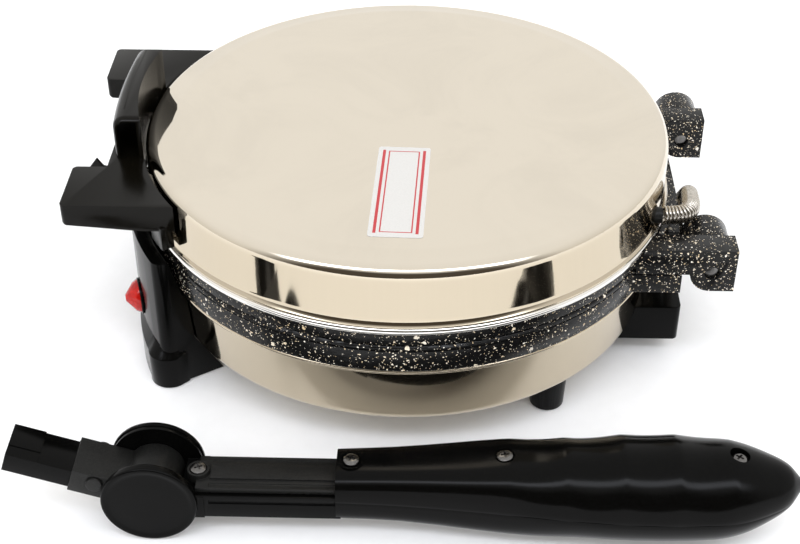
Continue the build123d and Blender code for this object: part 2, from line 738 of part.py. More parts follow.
low_spreader_z = under_z - low_spreader_drop
post_top_z = under_z - 2.0 - seat
collar_r = 6.5
collar_z = low_spreader_z - seat
with BuildPart() as base_posts:
    with PolarLocations(stud_pitch_r, stud_count, post_deg):
        with Locations((0, 0, floor_in_z + seat)):
            Cylinder(
                stud_r, post_top_z - floor_in_z - seat, align=(Align.CENTER, Align.CENTER, Align.MIN)
            )
        with Locations((0, 0, collar_z)):
            Cylinder(collar_r, 2.0, align=(Align.CENTER, Align.CENTER, Align.MAX))
        with Locations((0, 0, post_top_z)):
            Cylinder(stud_neck_r, 3.6, align=(Align.CENTER, Align.CENTER, Align.MIN))
        with Locations((0, 0, floor_in_z)):
            Cylinder(
                screw_r + screw_fit, 10, mode=Mode.SUBTRACT,
                align=(Align.CENTER, Align.CENTER, Align.MIN),
            )
save(base_posts, "base_posts")

with BuildPart() as bottom_heat_spreader:
    with BuildSketch(Plane.XY.offset(low_spreader_z)):
        Circle(spreader_r)
        with PolarLocations(stud_pitch_r, stud_count, post_deg):
            Circle(stud_r + screw_fit, mode=Mode.SUBTRACT)
        with Locations((term_x, term_y), (-term_x, term_y)):
            Circle(terminal_r + 3, mode=Mode.SUBTRACT)
        with Locations((-22, 6)):
            Circle(12, mode=Mode.SUBTRACT)
    extrude(amount=spreader_t)
save(bottom_heat_spreader, "bottom_heat_spreader")

with BuildPart() as base_post_screws:
    with PolarLocations(stud_pitch_r, stud_count, post_deg):
        with Locations((0, 0, bowl_floor_z - seat)):
            Cylinder(screw_head_r, screw_head_t, align=(Align.CENTER, Align.CENTER, Align.MAX))
            Cylinder(screw_r, 10, align=(Align.CENTER, Align.CENTER, Align.MIN))
save(base_post_screws, "base_post_screws")

with BuildPart() as thermostat:
    with Locations((-22, 6, under_z - seat)):
        Cylinder(8.5, 9, align=(Align.CENTER, Align.CENTER, Align.MAX))
    with Locations((-28, 6, under_z - seat - 9), (-16, 6, under_z - seat - 9)):
        Box(5, 0.8, 7, align=(Align.CENTER, Align.CENTER, Align.MAX))
save(thermostat, "thermostat")

block_z = floor_in_z + seat
with BuildPart() as terminal_block:
    with Locations((0, block_y_in, block_z)):
        Box(38, 18, 13, align=(Align.CENTER, Align.CENTER, Align.MIN))
    with Locations(*[(x, block_y_in, block_z + 13) for x in (-12, 0, 12)]):
        Cylinder(2.6, 1.5, mode=Mode.SUBTRACT, align=(Align.CENTER, Align.CENTER, Align.MAX))
save(terminal_block, "terminal_block")

low_wire_z = low_term_z - terminal_len - seat
lamp_dir = (sin(radians(lamp_deg)), -cos(radians(lamp_deg)))
lead_r = bowl_wall_r(lamp_z) - 2.3
with BuildPart() as base_wires:
    down = (0, 0, -1)
    into_rear = (0, -1, 0)
    into_front = (0, 1, 0)
    runs = [
        [(term_x, term_y, low_wire_z), (14, 79, 38), (12, 73.3, 29), down, into_rear],
        [(-term_x, term_y, low_wire_z), (-18, 79, 38), (-14, 73.3, 29), down, into_rear],
        [(-28, 6, under_z - 16.6), (-24, 32, 38), (-6, 54.7, 29), down, into_front],
        [(-2, box_hole_y, 14), (-1, 92, 28), (0, 73.3, 29), (0, 0, 1), into_rear],
        [
            (lamp_dir[0] * lead_r, lamp_dir[1] * lead_r, lamp_z), (30, -50, 34), (6, 54.7, 29),
            (-lamp_dir[0], -lamp_dir[1], 0), into_front,
        ],
        [
            (sleeve_far_x, low_grommet_y + 1, sleeve_low_z), (-12, 97, 40), (-7, 73.3, 31.5),
            into_rear, into_rear,
        ],
    ]
    for start, middle, end, out, into in runs:
        with BuildLine() as lead:
            Spline(start, middle, end, tangents=(out, into))
        with BuildSketch(Plane(origin=start, z_dir=out)):
            Circle(wire_r)
        sweep(path=lead.line)
save(base_wires, "base_wires")

# housing under the front edge, hugging the bowl
skin_z = bowl_rim_z - 2.4
knee_z = bowl_floor_z + bowl_corner + 1.5
with BuildPart() as front_housing:
    with BuildSketch(Plane.XZ):
        with BuildLine():
            Polyline(
                (house_toe_r, 0), (bowl_foot_r - 2.6, bowl_floor_z - 0.9),
                (bowl_wall_r(knee_z) + slip + seat, knee_z - 2.8),
                (bowl_wall_r(skin_z) + slip, skin_z - 1),
                (bowl_r + bead_out + bead_r + 0.6, skin_z),
                (bowl_r + bead_out + bead_r + 0.6, bowl_rim_z + 0.6),
                (house_lip_r, house_h), (house_r, house_h), (house_r, 2.5), (house_r - 2.5, 0),
                (house_toe_r, 0),
            )
        make_face()
    revolve(axis=Axis.Z, revolution_arc=2 * house_deg)
    outer = [e for e in front_housing.edges().filter_by(Axis.Z)
             if e.center().X ** 2 + e.center().Y ** 2 > (house_r - 0.1) ** 2]
    fillet(outer, house_corner_r)
front_housing.part = front_housing.part.rotate(Axis.Z, -90 - house_deg)


def off_front(radius, degrees_round):
    """A plan point at a radius and an angle round from the front toward +X."""
    turn = radians(degrees_round)
    return (radius * sin(turn), -radius * cos(turn))


# low heel at each end of the housing, its upper edge sloped back to the wall
heel_r = house_r + heel_proud
heel_step_z = heel_h - heel_slope_h


def heel_plan(z, back):
    """The heel's plan at a height, its outside drawn back."""
    turn = degrees(back / heel_r)
    with BuildSketch(Plane.XY.offset(z)) as plan:
        with BuildLine():
            ThreePointArc(
                off_front(house_r + 0.3 - back, house_deg - 20),
                off_front(heel_r - 1.5 - back, house_deg - 12), off_front(heel_r - back, house_deg - 5),
            )
            ThreePointArc(
                off_front(heel_r - back, house_deg - 5),
                off_front(heel_r - 1.6 - back, house_deg - 0.6 - turn),
                off_front(heel_r - 9 - back, house_deg + 0.9 - turn),
            )
            Polyline(
                off_front(heel_r - 9 - back, house_deg + 0.9 - turn),
                off_front(bowl_r + 3, house_deg + 0.4 - turn), off_front(bowl_r + 3, house_deg - 5),
                off_front(house_r - 7, house_deg - 20), off_front(house_r + 0.3 - back, house_deg - 20),
            )
        make_face()
    return plan.sketch


with BuildPart() as housing_heel:
    add(heel_plan(0, 0))
    extrude(amount=heel_step_z)
    loft([heel_plan(heel_step_z, 0).face(), heel_plan(heel_h, heel_slope_w).face()], ruled=True)
    mirror(about=Plane.YZ)
with BuildPart() as housing_core:
    with BuildSketch(Plane.XZ):
        with BuildLine():
            Polyline(
                (house_toe_r + 7.0, house_wall), (bowl_foot_r + 1.6, bowl_floor_z - 1.0),
                (bowl_wall_r(knee_z) + 3.4, knee_z - 2.0), (bowl_wall_r(skin_z) + 3.6, skin_z - 1),
                (bowl_r + 5.6, bowl_rim_z - 0.4), (house_lip_r + 1.6, house_h - house_wall),
                (house_r - house_wall, house_h - house_wall), (house_r - house_wall, house_wall),
                (house_toe_r + 7.0, house_wall),
            )
        make_face()
    revolve(axis=Axis.Z, revolution_arc=2 * (house_deg - 2.6))
housing_core.part = housing_core.part.rotate(Axis.Z, -90 - house_deg + 2.6)
with BuildPart() as housing_shell:
    add(front_housing.part)
    add(housing_heel.part)
    add(housing_core.part, mode=Mode.SUBTRACT)
    # bosses for the screws from inside the bowl
    for deg, z in bowl_screws:
        with Locations(Location((0, 0, z), (0, 0, deg))):
            with Locations((bowl_wall_r(z) + 2.5, 0, 0)):
                Cylinder(
                    4.2, 6.5, rotation=(0, 90, 0), align=(Align.CENTER, Align.CENTER, Align.MIN)
                )
            with Locations((bowl_wall_r(z), 0, 0)):
                Cylinder(
                    screw_r + screw_fit, 7.4, rotation=(0, 90, 0), mode=Mode.SUBTRACT,
                    align=(Align.CENTER, Align.CENTER, Align.MIN),
                )
    # bore for the lens, and a small hole for the lamp's leads
    with Locations(Location((0, 0, lamp_z), (0, 0, -90 + lamp_deg))):
        with Locations((house_r, 0, 0)):
            Cylinder(lens_stem_r + screw_fit, 9, rotation=(0, 90, 0), mode=Mode.SUBTRACT)
        with Locations((bowl_r, 0, 0)):
            Cylinder(2.6, 12, rotation=(0, 90, 0), mode=Mode.SUBTRACT)
save(housing_shell, "front_housing")

with BuildPart() as housing_screws:
    for deg, z in bowl_screws:
        with Locations(Location((0, 0, z), (0, 0, deg))):
            with Locations((bowl_wall_r(z) - bowl_t - 0.5, 0, 0)):
                Cylinder(
                    screw_head_r, screw_head_t, rotation=(0, 90, 0),
                    align=(Align.CENTER, Align.CENTER, Align.MAX),
                )
                Cylinder(
                    screw_r, 8.4, rotation=(0, 90, 0), align=(Align.CENTER, Align.CENTER, Align.MIN)
                )
save(housing_screws, "housing_screws")

lens_seat_r = house_r + seat + bezel_t
with BuildPart() as indicator_bezel:
    with Locations(Location((0, 0, lamp_z), (0, 0, -90 + lamp_deg))):
        with Locations((lens_seat_r, 0, 0)):
            Cylinder(
                bezel_r, 4, rotation=(0, 90, 0), align=(Align.CENTER, Align.CENTER, Align.MAX)
            )
            Cylinder(lens_stem_r + screw_fit, 12, rotation=(0, 90, 0), mode=Mode.SUBTRACT)
    Cylinder(house_r + seat, beyond, mode=Mode.SUBTRACT)
save(indicator_bezel, "indicator_bezel")

cone_r0 = lens_seat_r + seat
with BuildPart() as indicator_lens:
    with BuildSketch(Plane.XY.offset(cone_r0)):
        RegularPolygon(lens_r, 12)
    with BuildSketch(Plane.XY.offset(cone_r0 + 2.2)):
        RegularPolygon(lens_r - 1.2, 12)
    with BuildSketch(Plane.XY.offset(house_r + lens_proud)):
        RegularPolygon(1.6, 12)
    loft(ruled=True)
    with Locations((0, 0, cone_r0)):
        Cylinder(lens_stem_r, 8.5, align=(Align.CENTER, Align.CENTER, Align.MAX))
        Cylinder(3.0, 8.5, align=(Align.CENTER, Align.CENTER, Align.MAX), mode=Mode.SUBTRACT)
lens_place = Location((0, 0, lamp_z), (0, 0, -90 + lamp_deg)) * Location((0, 0, 0), (0, 90, 0))
indicator_lens.part = indicator_lens.part.moved(lens_place)
save(indicator_lens, "indicator_lens")

with BuildPart() as indicator_lamp:
    with Locations(Location((0, 0, lamp_z), (0, 0, -90 + lamp_deg))):
        with Locations((cone_r0 - 0.4, 0, 0)):
            Cylinder(
                2.8, 8.4, rotation=(0, 90, 0), align=(Align.CENTER, Align.CENTER, Align.MAX)
            )
        with Locations((cone_r0 - 6, 0, 0)):
            Cylinder(
                1.2, cone_r0 - 6 - bowl_wall_r(lamp_z), rotation=(0, 90, 0),
                align=(Align.CENTER, Align.CENTER, Align.MAX),
            )
save(indicator_lamp, "indicator_lamp")

with BuildPart() as bowl_room:
    with BuildSketch(Plane.XZ):
        with BuildLine():
            Polyline(
                (0, bowl_floor_z - seat), (bowl_foot_r - bowl_corner, bowl_floor_z - seat),
            )
            RadiusArc(
                (bowl_foot_r - bowl_corner, bowl_floor_z - seat),
                (bowl_foot_r + seat, bowl_floor_z + bowl_corner), -bowl_corner - seat,
            )
            Polyline(
                (bowl_foot_r + seat, bowl_floor_z + bowl_corner), (bowl_wall_r(40) + seat, 40),
                (0, 40), (0, bowl_floor_z - seat),
            )
        make_face()
    revolve(axis=Axis.Z)

box_in_y = box_y - box_len
with BuildPart() as rear_inlet_box:
    with Locations((0, (box_in_y + box_y) / 2, box_z)):
        Box(2 * box_x, box_y - box_in_y, box_h, align=(Align.CENTER, Align.CENTER, Align.MIN))
    fillet(rear_inlet_box.edges().filter_by(Axis.Z).group_by(Axis.Y)[-1], 3)
    with Locations((0, (box_in_y + box_y) / 2, box_z + box_wall)):
        Box(
            2 * (box_x - box_wall), box_y - box_in_y - 2 * box_wall, box_h - 2 * box_wall,
            mode=Mode.SUBTRACT, align=(Align.CENTER, Align.CENTER, Align.MIN),
        )
    with Locations((box_screw_x, box_screw_y, box_z), (-box_screw_x, box_screw_y, box_z)):
        Cylinder(4.5, box_h, align=(Align.CENTER, Align.CENTER, Align.MIN))
    add(bowl_room.part, mode=Mode.SUBTRACT)
    with Locations((box_screw_x, box_screw_y, box_z + 3), (-box_screw_x, box_screw_y, box_z + 3)):
        Cylinder(
            foot_screw_r + screw_fit, box_h, mode=Mode.SUBTRACT,
            align=(Align.CENTER, Align.CENTER, Align.MIN),
        )
    with Locations((0, box_hole_y, bowl_floor_z)):
        Cylinder(5.0, 10, mode=Mode.SUBTRACT)
    with Locations((0, box_y, box_z + box_h / 2)):
        Cylinder(gland_hole_r + 1.6, 12, rotation=(90, 0, 0), mode=Mode.SUBTRACT)
save(rear_inlet_box, "rear_inlet_box")

with BuildPart() as inlet_gland:
    with Locations((0, box_y + seat, box_z + box_h / 2)):
        Cylinder(
            gland_r, gland_proud, rotation=(90, 0, 0), align=(Align.CENTER, Align.CENTER, Align.MAX)
        )
        Cylinder(
            gland_hole_r + 1.5, box_wall + 1.2, rotation=(90, 0, 0),
            align=(Align.CENTER, Align.CENTER, Align.MIN),
        )
        Cylinder(gland_hole_r, 20, rotation=(90, 0, 0), mode=Mode.SUBTRACT)
save(inlet_gland, "inlet_gland")

foot_spots = [
    (foot_pitch_r * cos(radians(a)), foot_pitch_r * sin(radians(a))) for a in (foot_deg, 180 - foot_deg)
]
with BuildPart() as rear_feet:
    for spot in foot_spots:
        with Locations((spot[0], spot[1], (bowl_floor_z - seat) / 2)):
            Cone(foot_toe_r, foot_r, bowl_floor_z - seat)
        with Locations((spot[0], spot[1], 0)):
            Cylinder(4.5, 6, mode=Mode.SUBTRACT, align=(Align.CENTER, Align.CENTER, Align.MIN))
            Cylinder(
                foot_screw_r + screw_fit, 30, mode=Mode.SUBTRACT,
                align=(Align.CENTER, Align.CENTER, Align.MIN),
            )
save(rear_feet, "rear_feet")

with BuildPart() as foot_screws:
    for spot in foot_spots:
        with Locations((spot[0], spot[1], 6 - seat)):
            Cylinder(screw_head_r, screw_head_t, align=(Align.CENTER, Align.CENTER, Align.MAX))
            Cylinder(foot_screw_r, 20, align=(Align.CENTER, Align.CENTER, Align.MIN))
    with Locations(*[(x, box_screw_y, floor_in_z + seat) for x in (box_screw_x, -box_screw_x)]):
        Cylinder(screw_head_r, screw_head_t, align=(Align.CENTER, Align.CENTER, Align.MIN))
        Cylinder(foot_screw_r, 8, align=(Align.CENTER, Align.CENTER, Align.MAX))
save(foot_screws, "foot_screws")

with BuildPart() as foot_nuts:
    with BuildSketch(Plane.XY.offset(floor_in_z + seat)):
        for spot in foot_spots:
            with Locations(spot):
                RegularPolygon(nut_r, 6)
                Circle(foot_screw_r + screw_fit, mode=Mode.SUBTRACT)
    extrude(amount=nut_t)
save(foot_nuts, "foot_nuts")

pin_x0 = ear_x0 - 2.4
pin_x1 = arm_x + arm_t - pin_recess
clip_x = ear_x0 - slip - clip_t / 2
with BuildPart() as hinge_pins:
    for shift in hinge_shifts:
        with Locations(((pin_x0 + pin_x1) / 2 + shift, hinge_y, hinge_z)):
            Cylinder(pin_r, pin_x1 - pin_x0, rotation=(0, 90, 0))
        with Locations((clip_x + shift, hinge_y, hinge_z)):
            Cylinder(pin_r, clip_t + 0.1, rotation=(0, 90, 0), mode=Mode.SUBTRACT)
            Cylinder(pin_r - 0.8, clip_t + 0.1, rotation=(0, 90, 0))
save(hinge_pins, "hinge_pins")

with BuildPart() as hinge_clips:
    for shift in hinge_shifts:
        with Locations((clip_x + shift, hinge_y, hinge_z)):
            Cylinder(clip_r, clip_t, rotation=(0, 90, 0))
            Cylinder(pin_r - 0.7, clip_t, rotation=(0, 90, 0), mode=Mode.SUBTRACT)
            with Locations((0, 0, -clip_r)):
                Box(clip_t, 2.6, 2 * clip_r, mode=Mode.SUBTRACT)
save(hinge_clips, "hinge_clips")

# grommet in the bowl's wall for the sleeve's lower end
with BuildPart() as base_cable_gland:
    with Locations((sleeve_far_x, low_grommet_y - 0.8, sleeve_low_z)):
        Cylinder(grommet_r, 6.4, rotation=(90, 0, 0))
    with Locations((sleeve_far_x, low_grommet_y - 4.0, sleeve_low_z)):
        Cylinder(grommet_r + 0.6, 1.2, rotation=(90, 0, 0))
    with Locations((sleeve_far_x, low_grommet_y, sleeve_low_z)):
        Cylinder(sleeve_bore_r, 16, rotation=(90, 0, 0), mode=Mode.SUBTRACT)
save(base_cable_gland, "base_cable_gland")

# the sleeve leaves the lid, loops behind the cooker and comes back into the bowl
loop_y = plate_r + sleeve_back
sleeve_start = (sleeve_near_x, grommet_y + 2.8, sleeve_z)
sleeve_end = (sleeve_far_x, low_grommet_y + 2.8, sleeve_low_z)
loop_x, loop_z = sleeve_near_x - 28.5, sleeve_z - 8.2
with BuildPart() as cable_spring_sleeve:
    with BuildLine() as sleeve_path:
        Bezier(
            sleeve_start, (sleeve_near_x, loop_y - 5, sleeve_z + 0.2),
            (sleeve_near_x - 4.5, loop_y - 3.86, sleeve_z - 0.55), (loop_x, loop_y - 1.4, loop_z),
        )
        Bezier(
            (loop_x, loop_y - 1.4, loop_z), (loop_x - 18.5, loop_y + 0.5, loop_z - 5.9),
            (sleeve_far_x, loop_y + 4.5, sleeve_low_z + 1.5), sleeve_end,
        )
    with BuildSketch(Plane(origin=sleeve_start, z_dir=(0, 1, 0))):
        Circle(sleeve_r)
    sweep(path=sleeve_path.line)
    with BuildSketch(Plane(origin=sleeve_start, z_dir=(0, 1, 0))):
        Circle(sleeve_bore_r)
    sweep(path=sleeve_path.line, mode=Mode.SUBTRACT)
save(cable_spring_sleeve, "cable_spring_sleeve")

# ---------------------------------------------------------------- handle
arm_cos = cos(radians(arm_deg))
arm_sin = sin(radians(arm_deg))
# plane of the short arm: x along it from the pivot, y square to it, z toward +X
arm_plane = Plane(
    origin=(handle_x, pivot_y, pivot_z), x_dir=(0, -arm_cos, arm_sin), z_dir=(-1, 0, 0)
)
shaft_x0 = handle_x - shaft_w / 2
shaft_top = shaft_z + shaft_h
core_z = shaft_z + shaft_wall + seat
block_start = pivot_y + sleeve_end_r + 1.4
shaft_screw_y = -85.2
grip_screw_y = [-19.7, 45.2, 143.5]

with BuildPart() as lever_shaft_lower:
    for side in (1, -1):
        with Locations((handle_x + side * (fork_gap + cheek_t) / 2, pivot_y, pivot_z)):
            Cylinder(cheek_r, cheek_t, rotation=(0, 90, 0))
    with Locations((handle_x, block_start, shaft_z)):
        Box(
            fork_out, shaft_start + 4 - block_start, shaft_h,
            align=(Align.CENTER, Align.MIN, Align.MIN),
        )
    with Locations((handle_x, shaft_start, shaft_z)):
        Box(
            shaft_w, shaft_end - shaft_start, shaft_h, align=(Align.CENTER, Align.MIN, Align.MIN)
        )
    with Locations((handle_x, shaft_start + 5, shaft_z + shaft_wall)):
        Box(
            shaft_w - 2 * shaft_wall, beyond, shaft_h, mode=Mode.SUBTRACT,
            align=(Align.CENTER, Align.MIN, Align.MIN),
        )
    # grooves along both sides
    for side in (1, -1):
        with Locations((handle_x + side * shaft_w / 2, shaft_start + 6, shaft_top - 3.4)):
            Box(1.6, 60, 2.2, mode=Mode.SUBTRACT, align=(Align.CENTER, Align.MIN, Align.CENTER))
    with Locations((handle_x, pivot_y, pivot_z)):
        Cylinder(pivot_pin_r + run_fit, 60, rotation=(0, 90, 0), mode=Mode.SUBTRACT)
    with Locations((handle_x, shaft_screw_y, shaft_z + 3)):
        Cylinder(
            screw_r + screw_fit, 30, mode=Mode.SUBTRACT,
            align=(Align.CENTER, Align.CENTER, Align.MIN),
        )
save(lever_shaft_lower, "lever_shaft_lower")

cover_z = shaft_top + seat
with BuildPart() as lever_shaft_upper:
    with Locations((handle_x, shaft_start + 0.4, cover_z)):
        Box(
            19.8, shaft_end - shaft_start - 0.4, 2.4, align=(Align.CENTER, Align.MIN, Align.MIN)
        )
    with Locations((handle_x, shaft_start + 6, cover_z)):
        Box(9, shaft_end - shaft_start - 6, 3.4, align=(Align.CENTER, Align.MIN, Align.MIN))
    with Locations((handle_x, shaft_screw_y, cover_z)):
        Cylinder(4.8, 4.6, align=(Align.CENTER, Align.CENTER, Align.MIN))
    with Locations(*[(handle_x + x, shaft_start + 6, cover_z + 2.4) for x in (-7.4, 7.4)]):
        Box(
            2.0, shaft_end - shaft_start, 0.8, mode=Mode.SUBTRACT,
            align=(Align.CENTER, Align.MIN, Align.CENTER),
        )
    with Locations((handle_x, shaft_screw_y, cover_z - 1)):
        Cylinder(
            screw_r + screw_fit, 30, mode=Mode.SUBTRACT,
            align=(Align.CENTER, Align.CENTER, Align.MIN),
        )
        with Locations((0, 0, 1 + 4.6 - 1.4)):
            Cylinder(
                screw_head_r + 0.15, 30, mode=Mode.SUBTRACT,
                align=(Align.CENTER, Align.CENTER, Align.MIN),
            )
    with Locations((handle_x, pivot_y, pivot_z)):
        Cylinder(sleeve_end_r + 1.0, fork_out, rotation=(0, 90, 0), mode=Mode.SUBTRACT)
save(lever_shaft_upper, "lever_shaft_upper")

with BuildPart() as lever_core:
    with Locations((handle_x, shaft_start + 6, core_z)):
        Box(
            core_w, core_end - shaft_start - 6, core_t, align=(Align.CENTER, Align.MIN, Align.MIN)
        )
    with Locations(*[(handle_x, y, core_z) for y in grip_screw_y[:2]]):
        Cylinder(screw_r + screw_fit, 20, mode=Mode.SUBTRACT)
save(lever_core, "lever_core")

with BuildPart() as near_disc:
    with Locations((handle_x + fork_out / 2 + seat, pivot_y, pivot_z)):
        Cylinder(
            disc_r, disc_t, rotation=(0, 90, 0), align=(Align.CENTER, Align.CENTER, Align.MIN)
        )
    fillet(near_disc.edges().filter_by(GeomType.CIRCLE).group_by(Axis.X)[-1], 1.2)
save(near_disc, "near_disc")

with BuildPart() as far_disc:
    with Locations((handle_x - fork_out / 2 - seat, pivot_y, pivot_z)):
        Cylinder(
            disc_r, disc_t, rotation=(0, 90, 0), align=(Align.CENTER, Align.CENTER, Align.MAX)
        )
    fillet(far_disc.edges().filter_by(GeomType.CIRCLE).group_by(Axis.X)[0], 1.2)
save(far_disc, "far_disc")

with BuildPart() as pivot_pin:
    with Locations((handle_x, pivot_y, pivot_z)):
        Cylinder(pivot_pin_r, fork_out, rotation=(0, 90, 0))
save(pivot_pin, "pivot_pin")

with BuildPart() as arm_sleeve:
    with BuildSketch(arm_plane.offset(-arm_w / 2)):
        with Locations((sleeve_len / 2, (sleeve_high - sleeve_low) / 2)):
            Rectangle(sleeve_len, sleeve_high + sleeve_low)
        Circle(sleeve_end_r)
    extrude(amount=arm_w)
    with BuildSketch(arm_plane.offset(-plug_w / 2 - slip)):
        with Locations(((plug_root - slip + sleeve_len + 5) / 2, (plug_high - plug_low) / 2)):
            Rectangle(
                sleeve_len + 5 - plug_root + slip, plug_high + plug_low + 2 * seat
            )
    extrude(amount=plug_w + 2 * slip, mode=Mode.SUBTRACT)
    with Locations((handle_x, pivot_y, pivot_z)):
        Cylinder(pivot_pin_r + run_fit, 60, rotation=(0, 90, 0), mode=Mode.SUBTRACT)
    with Locations((handle_x, pivot_y - rivet_at * arm_cos, pivot_z + rivet_at * arm_sin)):
        Cylinder(rivet_neck_r + screw_fit, 60, rotation=(0, 90, 0), mode=Mode.SUBTRACT)
save(arm_sleeve, "arm_sleeve")

with BuildPart() as plug_channel:
    with BuildSketch(arm_plane.offset(-plug_w / 2)):
        with Locations(((plug_root + plug_len) / 2, (plug_high - plug_low) / 2)):
            Rectangle(plug_len - plug_root, plug_high + plug_low)
    extrude(amount=plug_w)
    # hollow from the free end
    with BuildSketch(arm_plane.offset(-plug_w / 2 + plug_wall)):
        with Locations(((sleeve_len + 2 + plug_len + 5) / 2, (plug_high - plug_low) / 2 - 0.3)):
            Rectangle(plug_len + 3 - sleeve_len, plug_high + plug_low - 2 * plug_wall - 0.6)
    extrude(amount=plug_w - 2 * plug_wall, mode=Mode.SUBTRACT)
    # lower strip along the +X edge, and a step in the rest of the top
    with BuildSketch(arm_plane.offset(-plug_w / 2)):
        with Locations(((sleeve_len + plug_len) / 2, plug_high)):
            Rectangle(plug_len - sleeve_len + 20, 1.0)
    extrude(amount=plug_strip_w, mode=Mode.SUBTRACT)
    with BuildSketch(arm_plane.offset(-plug_w / 2)):
        with Locations(((sleeve_len + 0.5 + 49) / 2, plug_high)):
            Rectangle(49 - sleeve_len, 1.4)
    extrude(amount=plug_w, mode=Mode.SUBTRACT)
    with Locations((handle_x, pivot_y - rivet_at * arm_cos, pivot_z + rivet_at * arm_sin)):
        Cylinder(rivet_neck_r + screw_fit, 60, rotation=(0, 90, 0), mode=Mode.SUBTRACT)
save(plug_channel, "plug_channel")

with BuildPart() as arm_rivet:
    with Locations((handle_x, pivot_y - rivet_at * arm_cos, pivot_z + rivet_at * arm_sin)):
        Cylinder(rivet_neck_r, arm_w, rotation=(0, 90, 0))
        for side in (1, -1):
            with Locations((0, 0, 0)):
                with Locations((side * (arm_w / 2 + seat + rivet_proud / 2), 0, 0)):
                    Cylinder(rivet_r, rivet_proud, rotation=(0, 90, 0))
        Cylinder(rivet_neck_r, arm_w + 2 * seat + 0.4, rotation=(0, 90, 0))
save(arm_rivet, "arm_rivet")

# the grip: ellipses along the lever, each (y, half height, centre height)
grip_rows = [
    (-26, 15.3, 21.6), (1, 15.6, 21.7), (35, 18.1, 22.0), (70, 20.9, 22.2), (104, 22.1, 22.3),
    (134, 21.2, 22.5), (146, 18.9, 22.8), (158, 13.9, 23.8), (166, 9.0, 24.8), (grip_tip_y, 3.0, 25.6),
]
with BuildPart() as grip_form:
    for y, half, mid_z in grip_rows:
        with BuildSketch(Plane(origin=(handle_x, y, mid_z), x_dir=(1, 0, 0), z_dir=(0, -1, 0))):
            Ellipse(half * grip_scale, half)
    loft()
with BuildPart() as grip_hollow:
    for y, half, mid_z in grip_rows[3:6]:
        with BuildSketch(Plane(origin=(handle_x, y, mid_z), x_dir=(1, 0, 0), z_dir=(0, -1, 0))):
            Ellipse((half - 3.2) * grip_scale, half - 3.2)
    loft()
grip_part_z = 22.0
for name, keep_low in (("grip_lower", True), ("grip_upper", False)):
    with BuildPart() as grip_half:
        add(grip_form.part)
        add(grip_hollow.part, mode=Mode.SUBTRACT)
        # room for the shaft's end and the core bar
        with Locations((handle_x, shaft_end + seat, shaft_z)):
            Box(60, 60, 60, mode=Mode.SUBTRACT, align=(Align.CENTER, Align.MAX, Align.CENTER))
        with Locations((handle_x, shaft_end - 1, core_z - seat)):
            Box(
                core_w + 2 * seat, core_end - shaft_end + 1.4, core_t + 2 * seat,
                mode=Mode.SUBTRACT, align=(Align.CENTER, Align.MIN, Align.MIN),
            )
        for y in grip_screw_y:
            with Locations((handle_x, y, 8)):
                Cylinder(
                    screw_r + screw_fit, 60, mode=Mode.SUBTRACT,
                    align=(Align.CENTER, Align.CENTER, Align.MIN),
                )
        for y, head_z in zip(grip_screw_y, (33.6, 37.4, 38.4)):
            with Locations((handle_x, y, head_z)):
                Cylinder(
                    screw_head_r + 0.4, 40, mode=Mode.SUBTRACT,
                    align=(Align.CENTER, Align.CENTER, Align.MIN),
                )
        with Locations((handle_x, grip_mid_y, grip_part_z + (0 if keep_low else seat))):
            Box(
                beyond, 2 * beyond, beyond, mode=Mode.SUBTRACT,
                align=(Align.CENTER, Align.CENTER, Align.MIN if keep_low else Align.MAX),
            )
    save(grip_half, name)

with BuildPart() as handle_screws:
    with Locations((handle_x, shaft_screw_y, cover_z + 3.3)):
        Cylinder(screw_head_r, screw_head_t, align=(Align.CENTER, Align.CENTER, Align.MIN))
        Cylinder(screw_r, 11, align=(Align.CENTER, Align.CENTER, Align.MAX))
    for y, head_z in zip(grip_screw_y, (33.7, 37.5, 38.5)):
        with Locations((handle_x, y, head_z)):
            Cylinder(screw_head_r, screw_head_t, align=(Align.CENTER, Align.CENTER, Align.MIN))
            Cylinder(screw_r, head_z - 9, align=(Align.CENTER, Align.CENTER, Align.MAX))
save(handle_screws, "handle_screws")
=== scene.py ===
"""Electric roti maker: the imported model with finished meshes, materials, light and camera."""

import json
import math

import bmesh
import bpy
from mathutils import Matrix, Vector


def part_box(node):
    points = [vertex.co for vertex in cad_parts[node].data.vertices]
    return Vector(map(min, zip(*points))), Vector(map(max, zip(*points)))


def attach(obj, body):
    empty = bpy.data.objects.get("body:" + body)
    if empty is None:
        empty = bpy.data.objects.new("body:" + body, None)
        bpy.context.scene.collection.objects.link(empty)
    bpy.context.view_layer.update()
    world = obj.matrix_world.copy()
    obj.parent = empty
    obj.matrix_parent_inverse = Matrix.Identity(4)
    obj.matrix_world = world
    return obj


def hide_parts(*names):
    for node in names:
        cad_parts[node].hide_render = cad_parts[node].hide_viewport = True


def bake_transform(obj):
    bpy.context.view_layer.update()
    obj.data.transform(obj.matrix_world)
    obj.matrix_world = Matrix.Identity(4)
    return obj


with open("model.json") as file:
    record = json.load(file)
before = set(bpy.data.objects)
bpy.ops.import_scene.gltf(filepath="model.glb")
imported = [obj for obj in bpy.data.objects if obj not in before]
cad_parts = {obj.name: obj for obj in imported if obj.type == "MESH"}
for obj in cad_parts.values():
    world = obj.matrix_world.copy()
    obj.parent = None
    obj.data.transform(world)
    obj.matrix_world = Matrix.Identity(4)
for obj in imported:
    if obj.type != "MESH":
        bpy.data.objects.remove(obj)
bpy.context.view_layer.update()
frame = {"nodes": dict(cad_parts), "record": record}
cad_nodes = frame["nodes"]

MM = 0.001

# ---------------------------------------------------------------- the cooker's own axis
cover_low, cover_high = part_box("lid_cover")
AXIS_X = (cover_low[0] + cover_high[0]) / 2
AXIS_Y = (cover_low[1] + cover_high[1]) / 2
LID_TOP = cover_high[2] / MM
COVER_FOOT = cover_low[2] / MM


